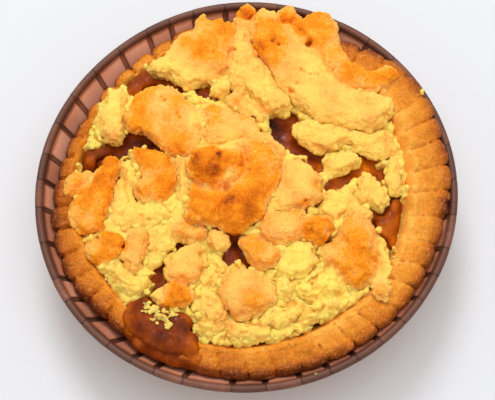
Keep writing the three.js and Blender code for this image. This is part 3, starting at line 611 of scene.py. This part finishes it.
def mapLumps(look=crumble):
    # how high, how toasted and how loose the lumps are and how far in from its lump's edge each
    # place is, on a grid seen from above
    tree, owners = surfaceTree(crumbleNodes)
    count = int(2 * look["mapHalf"] / look["mapStep"]) + 1
    maps = {name: np.zeros((count, count)) for name in look["mapBlur"]}
    weights, held, insides = (np.zeros((count, count)) for _ in range(3))
    for i in range(count):
        for j in range(count):
            hit, face = topUnder(tree, *(k * look["mapStep"] - look["mapHalf"] for k in (i, j)))
            if hit:
                node = owners[face]
                maps["levels"][i, j] = hit.z
                maps["toasts"][i, j], maps["roughs"][i, j] = lumpLook(node)
                weights[i, j] = 1
                held[i, j] = 1 + crumbleNodes.index(node)
    maps = {name: spread(maps[name], weights, reach) for name, reach in look["mapBlur"].items()}
    inside = weights > 0
    for _ in range(int(look["shoulder"][0] / look["mapStep"])):
        for axis, k in ((0, 1), (0, -1), (1, 1), (1, -1)):
            inside = inside & (np.roll(held, k, axis) == held)
        held = np.where(inside, held, 0)
        insides += inside * look["mapStep"]
    return {**maps, "insides": insides}


def readMap(grid, places, look=crumble):
    # a map's values at many places, blended between its squares
    across = np.clip((places[:, :2] + look["mapHalf"]) / look["mapStep"], 0, len(grid) - 1.01)
    near = across.astype(int)
    i, j = near[:, 0], near[:, 1]
    s, t = (across - near).T
    low = grid[i, j] * (1 - s) + grid[i + 1, j] * s
    high = grid[i, j + 1] * (1 - s) + grid[i + 1, j + 1] * s
    return low * (1 - t) + high * t


def heaved(mesh, insides, seed, look=crumble):
    # the slow rises and hollows of a lump, before its grains
    places, normals = pointsOf(mesh)
    reach, fall = look["shoulder"]
    edges = np.clip(1 - readMap(insides, places) / reach, 0, 1)
    rises = overSpots(look["rises"], places) - fall * edges**2
    shows = [(x, y, r, look["gapStrength"]) for x, y, r, _ in apple["shows"]]
    gaps = np.clip(overSpots(shows, places), 0, 1)
    swells = look["swell"] - (look["swell"] + look["shrink"]) * gaps
    heaveSize, heave, lift = look["heave"]
    rollSize, roll = look["roll"]
    swaySize, sway = look["sway"]
    shift = Vector((seed * 3.1, seed * 1.7, 0))  # so that no two lumps heave alike
    for i, (place, normal) in enumerate(zip(places, normals)):
        point = Vector(place)
        up = smoothStep(0.2, 0.9, normal[2])
        slow = noise.noise(point / heaveSize + shift) + lift
        quick = noise.noise(point / rollSize - shift)
        flat = normal * (1, 1, 0.3)  # the height stays, so that shrinking only opens the gap
        places[i] = place + (flat * swells[i] if swells[i] < 0 else normal * swells[i])
        places[i] += normal * roll * quick
        places[i][:2] += np.array(noise.noise_vector(point / swaySize)[:2]) * sway
        places[i][2] += up * (heave * slow + rises[i])
    mesh.vertices.foreach_set("co", places.ravel())
    return bmeshOf(mesh)


def crumbleSurface(mesh, toasts, levels, roughs, seed, look=crumble):
    # grains and crevices in the surface, with how brown each point is and how much painted shade
    # it gets
    places, normals = pointsOf(mesh)
    crestToast, lowest, highest = look["crestToast"]
    toasts = toasts + overSpots(look["spots"], places)
    toasts += crestToast * np.clip(places[:, 2] - levels, lowest, highest)
    sunkFrom, sunkOver, sunkDeep = look["sunk"]
    sunk = np.clip((levels - places[:, 2] - sunkFrom) / sunkOver, 0, 1)
    pits = look["pitDepth"] * overSpots(look["pits"], places)
    pits *= np.clip(normals[:, 2] * 2 - 0.6, 0, 1)  # none in the sides
    shadesAndKraft = np.empty(len(places))
    middle = look["grainMiddle"]
    crumbSize, grainSize, sandSize = look["grainSizes"]
    crumbHeight, grainHeight, sandHeight = look["grainHeights"]
    warpSize, warp = look["warp"]
    patchSize, patchToast = look["patches"]
    deepest, crumbGap, grainGap = look["creviceShade"]
    for i, (place, normal) in enumerate(zip(places, normals)):
        point = Vector(place)
        up = normal[2]
        rough = 1 - (1 - roughs[i]) * smoothStep(*look["topSlope"], up)
        bent = point + noise.noise_vector(point / warpSize) * warp
        crumb = packed(bent, crumbSize, seed)
        fine = packed(bent, grainSize, seed + 5)
        sand = packed(point, sandSize, seed + 9)
        height = crumbHeight * (crumb - middle) + grainHeight * (fine - middle)
        height = rough * height + sandHeight * (0.4 + 0.6 * rough) * (sand - middle)
        places[i] = place + normal * (height - pits[i])
        patch = noise.noise(point / patchSize + Vector((7, 3, 1)))
        toasts[i] += patchToast * patch + 0.1 * (fine - 0.7) + look["pitToast"] * min(1, pits[i])
        # painted shade in the gaps between crumbs and grains, and on sides and undersides
        gap = crumbGap * (1 - crumb) ** 2 + grainGap * (1 - fine) ** 2
        shadesAndKraft[i] = min(deepest, rough) * gap
        shadesAndKraft[i] += look["undersideShade"] * (1 - smoothStep(-0.1, 0.7, up))
    mesh.vertices.foreach_set("co", places.ravel())
    setValues(mesh, "toast", toasts)
    # more painted shade where it lies below the lumps round it
    setValues(mesh, "shadeAndKraft", np.clip(shadesAndKraft + sunkDeep * sunk, 0, 1))
    bm = bmesh.new()
    bm.from_mesh(mesh)
    bmesh.ops.smooth_vert(
        bm, verts=bm.verts, factor=0.5, use_axis_x=True, use_axis_y=True, use_axis_z=True
    )
    bm.to_mesh(mesh)
    bm.free()


def makeLumps(material, look=crumble):
    maps = mapLumps()
    masses = {
        mass: ["crumble_" + part for part in parts.split()]
        for mass, parts in look["masses"].items()
    }
    joined = {node for parts in masses.values() for node in parts}
    masses.update((node + "Lump", [node]) for node in crumbleNodes if node not in joined)
    for seed, (name, parts) in enumerate(masses.items()):
        block = voxelMesh(nodeCopy(*parts), name + "Block", look["firstVoxel"], look["rounding"])
        knitted = voxelMesh(heaved(block, maps["insides"], seed), name + "Knit", *look["knit"])
        bm = bmeshOf(knitted)
        topShare = sum(lumpLook(node)[1] for node in parts) / len(parts)
        stickGrains(bm, random.Random(seed + 11), topShare)
        mesh = voxelMesh(bm, name, look["voxel"], look["smoothing"])
        places = pointsOf(mesh)[0]
        fields = (readMap(maps[field], places) for field in ("toasts", "levels", "roughs"))
        crumbleSurface(mesh, *fields, seed)
        makePiece(mesh, name, material, parts)
    print("crumble lumps made")


# Paper case.

case = {
    "centre": (0.35, -0.2),  # mm, taken off every radius below
    "rimRadius": [55.1, 55.15, 54.7, 53.5, 54.4, 55.7, 55.1, 54.9],
    "beadRadius": 1.15,
    "beadTube": 1,
    "beadMiddle": 22.9,
    "baseShare": 0.745,
    "paper": 0.7,
    "wallStep": 0.3,
    "pleatDepth": 0.4,
    "bow": 0.3,
    "sway": 0.12,
    "lift": 0.12,  # mm that a panel's rim is rolled higher or lower
    "rimTurn": (-75, 270),  # degrees where the rim's roll starts, and its length
    # degrees of half a fold, the part of it that slopes, its border and the rim's joint
    "foldHalfWidth": 0.8,
    "foldEdge": (0.7, 1.1),
    "borderWidth": 0.2,
    "jointEdge": (0.08, 0.3),
    # how brown it is, and how much more on folds, joints and borders
    "outsideTone": (0.45, 0.25),
    "rimTone": (0.7, 0.34),
    "insideTone": (0.06, 0.42, 0.34),
    "shadeUnderRim": (0.88, 0.16),  # painted shade under the rolled rim: the share of the height where it starts, and how much darker
    "shade": 0.08,
    # painted shade: how much darker the inside wall is where it gets less light, from the right
    # round
    "wallShade": [0.04, 0, -0.02, -0.03, 0.1, 0.16, 0.13, 0.1],
    "folds": [
        2, 12.5, 25.5, 34, 43, 52, 62, 70.5, 80.5, 88, 96, 105.5, 113, 120.5, 130.5, 140.5,
        150.5, 160, 170, 178, 186.5, 197, 208, 215, 222.5, 231.5, 239, 245.5, 253.5, 266.5,
        275.5, 285, 293, 301, 309, 317, 325, 333, 341.5, 351.5,
    ],
    "steps": 1440,
    "wallPoints": 14,
    "beadPoints": 16,
}


def stackedRings(count, steps):
    # an open tube whose rings are numbered by their height
    bm = bmesh.new()
    bmesh.ops.create_circle(bm, radius=1, segments=steps)
    ring = list(bm.edges)
    for _ in range(count - 1):
        made = bmesh.ops.extrude_edge_only(bm, edges=ring)["geom"]
        verts = [v for v in made if isinstance(v, bmesh.types.BMVert)]
        bmesh.ops.translate(bm, vec=(0, 0, 1), verts=verts)
        edges = (e for e in made if isinstance(e, bmesh.types.BMEdge))
        ring = [e for e in edges if abs(e.verts[0].co.z - e.verts[1].co.z) < 0.5]
    return bm


def inSpan(marks, angle):
    # the span between marks that holds an angle, how far along it is, and the span's width
    angle %= 360
    n = len(marks)
    k = (bisect.bisect_right(marks, angle) - 1) % n
    width = (marks[(k + 1) % n] - marks[k]) % 360
    return k, ((angle - marks[k]) % 360) / width, width


def caseWall(rim, z, look=case):
    # the radius of the case's inner wall
    head = look["beadMiddle"] - look["beadRadius"]
    foot = look["baseShare"] * rim - look["paper"]
    top = rim - 2 * look["beadRadius"] - look["wallStep"]
    return foot + (top - foot) * min(z, head) / head


def makeCase(material, look=case):
    rng = random.Random(5)
    lift = [rng.uniform(-look["lift"], look["lift"]) for _ in look["folds"]]
    shade = [rng.uniform(-look["shade"], look["shade"]) for _ in look["folds"]]
    wall, bead = look["wallPoints"], look["beadPoints"]
    bm = stackedRings(2 * wall + bead, look["steps"])
    toasts, outsides = [], []
    underBead = look["beadMiddle"] - look["beadRadius"]
    turnFrom, turnOver = look["rimTurn"]
    for v in bm.verts:
        k = round(v.co.z)
        angle = math.degrees(math.atan2(v.co.y, v.co.x)) % 360
        rim = around(look["rimRadius"], angle)
        span, along, width = inSpan(look["folds"], angle)
        away = min(along, 1 - along) * width  # degrees from the nearest fold
        fold = 1 - smoothStep(*look["foldEdge"], away / look["foldHalfWidth"])
        border = math.exp(-(((away - look["foldHalfWidth"]) / look["borderWidth"]) ** 2))
        joint = 1 - smoothStep(*look["jointEdge"], away)
        panel = 4 * along * (1 - along)
        sway = look["sway"] * noise.noise(Vector((angle / 3, k / 5, 2)))
        pleat = fold * look["pleatDepth"] - panel * look["bow"] + sway
        if k < wall:  # outside, from the foot up
            t = k / (wall - 1)
            foot = look["baseShare"] * rim
            radius = foot + (rim - look["beadRadius"] - look["paper"] - foot) * t
            radius += pleat * min(1, 3 * t)
            height = underBead * t
            tone, foldTone = look["outsideTone"]
            toast = tone + foldTone * fold
        elif k < wall + bead:  # round the rolled rim
            turn = math.radians(turnFrom + turnOver * (k - wall) / (bead - 1))
            roll = look["beadTube"] * (1 - 0.1 * joint) + lift[span] * 0.3
            radius = rim - look["beadTube"] + roll * math.cos(turn)
            height = look["beadMiddle"] + roll * math.sin(turn) + 0.1 * sway
            tone, jointTone = look["rimTone"]
            toast = tone + jointTone * joint + shade[span]
        else:  # inside, down to the floor
            t = 1 - (k - wall - bead) / (wall - 1)
            height = look["paper"] + (underBead - look["paper"]) * t
            radius = caseWall(rim, height) + pleat * min(1, 3 * t)
            tone, foldTone, borderTone = look["insideTone"]
            # painted shade round the inside wall where it gets less light
            toast = tone + around(look["wallShade"], angle) + foldTone * fold
            toast = toast + borderTone * border + shade[span]
            # painted shade under the rolled rim, darker towards the top of the inside wall
            darkFrom, dark = look["shadeUnderRim"]
            toast += dark * smoothStep(darkFrom, 1, t)
        bearing = math.radians(angle)
        v.co.x = radius * math.cos(bearing) - look["centre"][0]
        v.co.y = radius * math.sin(bearing) - look["centre"][1]
        v.co.z = height
        toasts.append(toast)
        outsides.append(0.85 * (1 - smoothStep(wall - 2, wall + 2, k)) * (1 - 0.4 * fold))
    mesh = closedMesh(bm, "paperCase", toasts, outsides)
    makePiece(mesh, "paperCase", material, ["baking_case"])
    print("paper case made")


# Shortcrust shell.

crust = {
    "outerRadius": [
        53.4, 53.3, 54.3, 52.6, 49.8, 49, 48.8, 50, 48.6, 47.6, 47.7, 48.6, 49.8, 51.6, 51.3,
        50, 50, 50.5, 51.3, 51.1, 51.5, 52, 51.6, 51.8,
    ],
    "innerRadius": [42.3, 42.8, 43, 43, 43.6, 44, 44.2, 43.6, 43.4, 43.2, 42.4, 42.4],
    "edgeHeight": [24.6, 25.4, 23.6, 22.3, 20.8, 20.1, 20.8, 21.2, 21.5, 21.8, 22.2, 23.2],
    "grooves": [
        6, 14, 21, 28, 36, 44, 52, 59, 67, 75, 83, 91, 99, 107, 114.5, 122.5, 131, 139, 146.5,
        153.5, 161, 168.5, 176.5, 185.5, 193.5, 202, 210, 217.5, 225, 232, 239.5, 247, 255.5,
        263, 271, 279, 286.5, 294.5, 303, 311, 319, 327, 334, 341.5, 350, 358.5,
    ],
    "steps": 1080,
    "stretches": (5, 4, 5, 5, 8, 9, 10, 4),  # rings from each point of the profile to the next
    "caseGap": 0.5,
    "crown": 2.1,
    # the flutes lean and lie flat round one side of the shell
    "lean": 2.5,
    "leanMiddle": 320,
    "leanEdge": (-0.55, 0.35),
    "crease": 1,
    "creaseWidth": 0.42,
    "creaseDepths": (0.45, 1.3),
    "lobe": (1.3, 2.4),  # mm that a flute's sides fall, and how late
    "scallop": 0.8,
    "dome": 0.6,  # how far the flat flutes rise between their creases
    "crumb": ((3.4, 0.75, 0), (0.8, 0.2, 0), (1.5, 0.42, 4)),  # mm across, mm high and seed
    "sideCrumb": (1.1, 0.22),
    # how brown it is, and how much more or less in each place
    "tones": {
        "all": 0.22, "outer": 0.5, "wall": 0.25, "crease": -0.1, "dome": 0.14, "patch": 0.1,
        "inner": -0.24, "between": 0.1,
    },
    "shade": 0.07,
    # how much browner it is from the right round, every 30 degrees
    "tan": [0.1, 0.12, 0.26, 0.16, 0.12, 0.22, 0.36, 0.25, 0.14, 0.24, 0.1, 0.06],
}


def crustProfile(angle, look=crust):
    # the shell's section at an angle: radius, height and share of the rim's width
    outer = around(look["outerRadius"], angle)
    inner = around(look["innerRadius"], angle)
    edge = around(look["edgeHeight"], angle)
    rim = around(case["rimRadius"], angle)
    free = edge > case["beadMiddle"] + case["beadRadius"] + 0.35

    def inCase(radius, z):
        return min(radius, caseWall(rim, z) - look["caseGap"] - case["bow"] * 0.4)

    lip = outer if free else inCase(outer, edge)
    width = lip - inner
    return [
        (caseWall(rim, 0) - 1, 1.2, 0),
        (inCase(outer - 1.2, edge - 4), edge - 4, 0),
        (inCase(lip, edge - 1.4), edge - 1.4, 0),
        (lip, edge, 0),
        (lip - 0.12 * width, edge + 0.72 * look["crown"], 0.12),
        (lip - 0.36 * width, edge + look["crown"], 0.36),
        (lip - 0.66 * width, edge + 1.1 * look["crown"], 0.66),
        (inner, edge + 0.6, 1),
        (inner - 9, 4.4, 1),
    ]


def makeShell(material, look=crust):
    stretches = look["stretches"]
    stops = [(i, j / n) for i, n in enumerate(stretches) for j in range(n)]
    stops.append((len(stretches) - 1, 1))
    bm = stackedRings(len(stops), look["steps"])
    toasts, shadesAndKraft = [], []
    rng = random.Random(9)
    shades = [rng.uniform(-look["shade"], look["shade"]) for _ in look["grooves"]]
    depths = [rng.uniform(*look["creaseDepths"]) for _ in look["grooves"]]
    lobeFall, lobePower = look["lobe"]
    sideSize, side = look["sideCrumb"]
    tones = look["tones"]
    profiles = {}
    for v in bm.verts:
        k = round(v.co.z)
        angle = math.degrees(math.atan2(v.co.y, v.co.x)) % 360
        key = round(angle * 100)
        if key not in profiles:
            profiles[key] = crustProfile(angle)
        line = profiles[key]
        i, t = stops[k]
        near = (line[min(max(i + q, 0), len(line) - 1)] for q in (-1, 0, 1, 2))
        radius, height, share = (curve(*part, t) for part in zip(*near))
        share = min(1, max(0, share))
        tiled = smoothStep(*look["leanEdge"], math.cos(math.radians(angle - look["leanMiddle"])))
        span, along, width = inSpan(look["grooves"], angle + look["lean"] * tiled * share)
        away = min(along, 1 - along) * math.radians(width) * radius  # mm from the furrow
        wander = smoothStep(-0.3, 0.3, noise.noise(Vector((radius / 2.2, span * 3.7, 0))))
        crease = math.exp(-((away / (look["creaseWidth"] * (1 - 0.35 * tiled))) ** 2))
        crease *= (0.2 + 0.95 * wander) * depths[span]
        lobe = 1 - abs(2 * along - 1) ** lobePower
        arch = 4 * along * (1 - along)
        onRim = smoothStep(0, 1, (k - stretches[0] * 0.4) / (stretches[0] + stretches[1]))
        reach = onRim * (1 - smoothStep(0.9, 1, share))
        out = max(0, 1 - 2.6 * share)
        drop = look["crease"] * crease + lobeFall * (1 - 0.86 * tiled) * (1 - lobe)
        drop += look["dome"] * tiled * (1 - arch)
        height -= reach * drop * (0.45 + 0.55 * (1 - out))
        radius -= reach * out * (look["crease"] * crease + look["scallop"] * (1 - lobe))
        bearing = math.radians(angle)
        point = Vector((radius * math.cos(bearing), radius * math.sin(bearing), height))
        rough = onRim * (1 - smoothStep(0.98, 1, share) * (0.6 if i > 6 else 0))
        point.z += rough * sum(
            noise.noise(point / size + Vector((seed, seed, seed))) * high
            for size, high, seed in look["crumb"]
        )
        radial = Vector((math.cos(bearing), math.sin(bearing), 0))
        point += radial * noise.noise(point / sideSize + Vector((9, 9, 9))) * side * rough * out
        v.co = point - Vector((*case["centre"], 0))
        browned = tones["all"] + tones["outer"] * out * onRim + tones["wall"] * (1 - onRim)
        browned += tones["crease"] * crease
        browned += tones["dome"] * (arch - 0.5)
        browned += around(look["tan"], angle) + shades[span]
        inside = smoothStep(0.45, 1, share)
        browned += tones["patch"] * noise.noise(point / 9) + tones["inner"] * inside
        browned += tones["between"] * (1 - tiled) * (1 - lobe)
        toasts.append(browned)
        # painted shade along the creases of the rim
        shadesAndKraft.append(min(1, reach * crease * 0.9))
    mesh = closedMesh(bm, "shortcrust", toasts, shadesAndKraft)
    makePiece(mesh, "shortcrust", material, ["pastry_shell"])
    print("shell made")


# Apple.

apple = {
    "top": (25, 4, 42.3),  # mm high in the middle, mm less at the edge, its radius
    "voxel": 0.5,
    "smoothing": 7,
    "chunks": 420,
    "reach": 41,
    "long": (2.4, 6.5),
    "narrow": (0.5, 0.9),
    "thick": (0.6, 1.3),
    "sunk": 0.8,
    "proud": (-0.1, 1),
    "tilt": 0.35,
    "pieceVoxel": 0.35,
    "pieceSmoothing": 10,
    "spillSmoothing": 34,
    "swell": 0.45,
    "ripple": (3.2, 0.36),
    "fold": ((1.1, 2.4, 1.6), 0.14),
    "tone": (0.5, -0.2),  # how dark it is, and how much its ripples change it
    "dripWidth": 1.6,
    # where the apple hangs over the crust: bearing in degrees, distance, height, radius
    "drips": [
        (234, 48.2, 20.9, 2.1), (238.5, 48.7, 21, 2.4), (243, 48.9, 21.1, 2.4),
        (247.5, 48.5, 21.2, 2.4), (252, 48, 21.4, 2.2), (255, 47.6, 21.9, 1.8),
        (232, 45.8, 22.6, 2.2), (236, 46.2, 23.1, 2.6), (241, 46.4, 23.3, 2.7),
        (246, 46.2, 23.3, 2.7), (250.5, 45.7, 23.1, 2.4),
    ],
    # where it shows between the crumble: x, y, reach in mm and how much darker it is, painted
    # shade in the deep gaps between lumps, and the apple's own darker or more orange colour on the
    # piece over the rim
    "shows": [
        (-39, 8, 4.8, 0.1), (-34, 9.5, 3, 0.2), (-29, 12.5, 3.5, 0.3), (-24, 11, 2.5, 0.3),
        (-27, 30, 4, 0.2), (-22, 29.5, 3, 0.1), (-17, 28, 2.5, 0.1), (-12, 26.5, 2.5, 0.1),
        (13, 10.5, 3.1, 0.1), (17, 8.5, 3.2, 0.1), (17.5, 5, 2.8, 0), (24, 2, 3.4, -0.1),
        (29, 5, 3.6, -0.15), (32, 7, 2.6, -0.15), (22, -1, 2.4, -0.1), (34, 3, 2.6, -0.15),
        (7, 17, 2.2, 0.3), (8, 13.5, 2.3, 0.25), (10, 14, 2.4, 0.1), (11.5, 18, 2.2, -0.15),
        (36, -5, 3.5, -0.05), (37, -10, 4, -0.05), (36, -15, 3, -0.1), (34, -9, 3, 0),
        (35, -19, 2, 0), (-3, -17, 2.2, 0.3), (0, -22, 2, 0.1), (-5, -21, 1.8, 0.2),
        (-22, -23, 1.8, 0.3), (-22, -27, 2, 0.3), (-23, -31, 2.5, 0.3), (-26, -37, 4, 0.3),
        (-22, -44, 5, 0.28), (-17, -39, 3.6, 0.28), (-12, -46, 3.2, -0.1), (-17, -17, 1.6, 0.1),
        (9.5, 17, 2.2, 0.1), (-2.5, -20.2, 2.1, 0.2), (-19, -20, 1.4, 0.2),
    ],
}


def fillingTop(x, y, look=apple):
    middle, fall, edge = look["top"]
    share = math.hypot(x, y) / edge
    return middle - fall * min(1, share * share)


def appleSurface(mesh, seed, look=apple):
    places, normals = pointsOf(mesh)
    toasts = np.empty(len(places))
    rippleSize, ripple = look["ripple"]
    foldSizes, foldHeight = look["fold"]
    tone, rippleTone = look["tone"]
    for i, (place, normal) in enumerate(zip(places, normals)):
        point = Vector(place)
        wave = noise.noise(point / rippleSize + Vector((seed, 0, 0)))
        fold = noise.noise(Vector([c / size for c, size in zip(point, foldSizes)]))
        swell = look["swell"] if seed else 0
        places[i] = place + normal * (swell + ripple * wave + foldHeight * fold)
        # darker where it shows between the crumble: painted shade in the deep gaps, and the
        # apple's own colour on the piece over the rim
        dark = 0.0
        for x, y, reach, amount in look["shows"]:
            gap = (point.x - x) ** 2 + (point.y - y) ** 2
            if gap < 4 * reach * reach:
                dark += amount * math.exp(-gap / reach**2)
        toasts[i] = tone + dark + rippleTone * wave
    mesh.vertices.foreach_set("co", places.ravel())
    setValues(mesh, "toast", toasts)


def makeFilling(material, look=apple):
    rng = random.Random(3)
    bm = nodeCopy("apple_filling")
    ball = ballMesh(2)
    for _ in range(look["chunks"]):
        bearing, far = rng.uniform(0, math.tau), look["reach"] * math.sqrt(rng.random())
        x, y = far * math.cos(bearing), far * math.sin(bearing)
        size = rng.uniform(*look["long"])
        width = size / 2 * rng.uniform(*look["narrow"])
        sides = (size / 2, width, rng.uniform(*look["thick"]), 1)
        z = fillingTop(x, y) - look["sunk"] + rng.uniform(*look["proud"])
        turn = Matrix.Rotation(rng.uniform(0, math.tau), 4, "Z")
        tilt = Matrix.Rotation(rng.uniform(-look["tilt"], look["tilt"]), 4, "X")
        place = Matrix.Translation((x, y, z)) @ turn @ tilt
        addBall(bm, ball, place @ Matrix.Diagonal(sides))
    mesh = voxelMesh(bm, "appleBed", look["voxel"], look["smoothing"])
    appleSurface(mesh, 0)
    makePiece(mesh, "appleBed", material, ["apple_filling"])
    for seed, node in enumerate(sorted(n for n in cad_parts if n.startswith("apple_"))):
        if node == "apple_filling":
            continue
        bm = nodeCopy(node)
        smoothing = look["pieceSmoothing"]
        if node == "apple_over_rim":
            smoothing = look["spillSmoothing"]
            for bearing, far, z, radius in look["drips"]:
                turn = math.radians(bearing)
                spot = Matrix.Translation((far * math.cos(turn), far * math.sin(turn), z))
                sides = Matrix.Diagonal((radius, radius * look["dripWidth"], radius, 1))
                addBall(bm, ball, spot @ Matrix.Rotation(turn, 4, "Z") @ sides)
        mesh = voxelMesh(bm, node + "Piece", look["pieceVoxel"], smoothing)
        appleSurface(mesh, seed + 1)
        makePiece(mesh, node + "Piece", material, [node])
    print("apple made")


# Crumbs between the lumps, and crumbs that fell off.

bed = {
    "spacing": 1.15,
    "radius": (0.7, 1.3),
    "reach": 44,
    "crustGap": 0.3,
    "covered": 3,  # mm of lump over the apple that hide it
    "share": 0.74,  # how far up towards the lumps round it the bed rises
    "beside": 2.4,  # mm to where those are looked for
    "bearings": (0, 1.05, 2.1, 3.14, 4.2, 5.24),
    "alone": 1.5,  # mm that stand for them where there is none
    "uneven": 0.7,
    "least": 0.6,
    "voxel": 0.42,
    "smoothing": 2,
    "toast": 0.08,
    "rough": 0.8,
    "shade": 1.2,
    "seed": 77,
}

fallen = {
    # x, y and how far they scatter in mm, and how many
    "spots": [
        (-25, -33.6, 1, 14), (-22.8, -35.2, 1.3, 26), (-20.8, -37, 1.3, 26),
        (-19.6, -38.4, 0.8, 10), (-18.4, -35.6, 0.9, 12), (17, -50, 0.35, 3), (46.4, 26.6, 0.6, 3),
        (-41.6, 12.4, 1, 7), (-31, -31, 1.2, 3), (38.5, -20, 1, 3), (-27.5, -29.5, 0.8, 3),
    ],
    "onto": ("shortcrust", "apple_over_rimPiece", "paperCase"),
    "radius": (0.28, 0.62),
    "voxel": 0.17,
    "smoothing": 1,
    "toast": 0.2,
    "rough": 0.3,
    "shade": 0,
    "seed": 78,
}


def makeCrumbs(bm, name, material, look):
    # loose crumbs, one piece with no CAD node of its own
    mesh = voxelMesh(bm, name, look["voxel"], look["smoothing"])
    places = pointsOf(mesh)[0]
    flat = np.ones(len(places))
    levels = places[:, 2] + look["shade"]
    crumbleSurface(mesh, flat * look["toast"], levels, flat * look["rough"], look["seed"])
    makePiece(mesh, name, material)


def makeBed(material, look=bed):
    rng = random.Random(21)
    lumps = surfaceTree(crumbleNodes)[0]
    ball = ballMesh(1)
    bm = bmesh.new()
    aside = look["beside"]
    steps = int(look["reach"] / look["spacing"])
    for i in range(-steps, steps + 1):
        for j in range(-steps, steps + 1):
            x = (i + rng.uniform(-0.4, 0.4)) * look["spacing"]
            y = (j + rng.uniform(-0.4, 0.4)) * look["spacing"]
            inner = around(crust["innerRadius"], math.degrees(math.atan2(y, x)))
            out = math.hypot(x + case["centre"][0], y + case["centre"][1])
            low = fillingTop(x, y)
            here = topUnder(lumps, x, y)[0]
            if (
                out > inner - look["crustGap"]
                or any(math.hypot(x - ax, y - ay) < r for ax, ay, r, _ in apple["shows"])
                or (here and here.z > low + look["covered"])
            ):
                continue
            beside = (
                topUnder(lumps, x + aside * math.cos(a), y + aside * math.sin(a))[0]
                for a in look["bearings"]
            )
            tops = [point.z for point in beside if point]
            level = sum(tops) / len(tops) if tops else low + look["alone"]
            high = low + (level - low) * look["share"]
            high += rng.uniform(-look["uneven"], look["uneven"])
            z = low
            while z < max(high, low + look["least"]):
                radius = rng.uniform(*look["radius"])
                spot = (x + rng.uniform(-0.3, 0.3), y + rng.uniform(-0.3, 0.3), z)
                addBall(bm, ball, Matrix.Translation(spot) @ Matrix.Scale(radius, 4))
                z += radius * 1.1
    makeCrumbs(bm, "lowCrumbs", material, look)
    print("low crumbs made")


def makeFallen(material, look=fallen):
    # laid on what the finished pieces show from above
    rng = random.Random(8)
    ground = surfaceTree(look["onto"])[0]
    ball = ballMesh(1)
    bm = bmesh.new()
    for x, y, scatter, count in look["spots"]:
        for _ in range(count):
            radius = rng.uniform(*look["radius"])
            place = (x + rng.gauss(0, scatter / 1.5), y + rng.gauss(0, scatter / 1.5))
            under = topUnder(ground, *place)[0]
            if under:
                lift = Matrix.Translation(under + Vector((0, 0, radius * 0.5)))
                sides = (radius, radius * rng.uniform(0.6, 1), radius * rng.uniform(0.6, 1), 1)
                addBall(bm, ball, lift @ Matrix.Diagonal(sides))
    makeCrumbs(bm, "fallenCrumbs", material, look)
    print("fallen crumbs made")


# The whole tartlet.

makeStudio(studio)
makeFloor(studio)
print("studio made")
crumbleFinish = makeMaterial("crumble", crumbleLook)
makeCase(makeMaterial("brownPaper", paperLook))
makeShell(makeMaterial("crust", crustLook))
makeFilling(makeMaterial("stewedApple", appleLook))
makeLumps(crumbleFinish)
makeBed(crumbleFinish)
makeFallen(crumbleFinish)
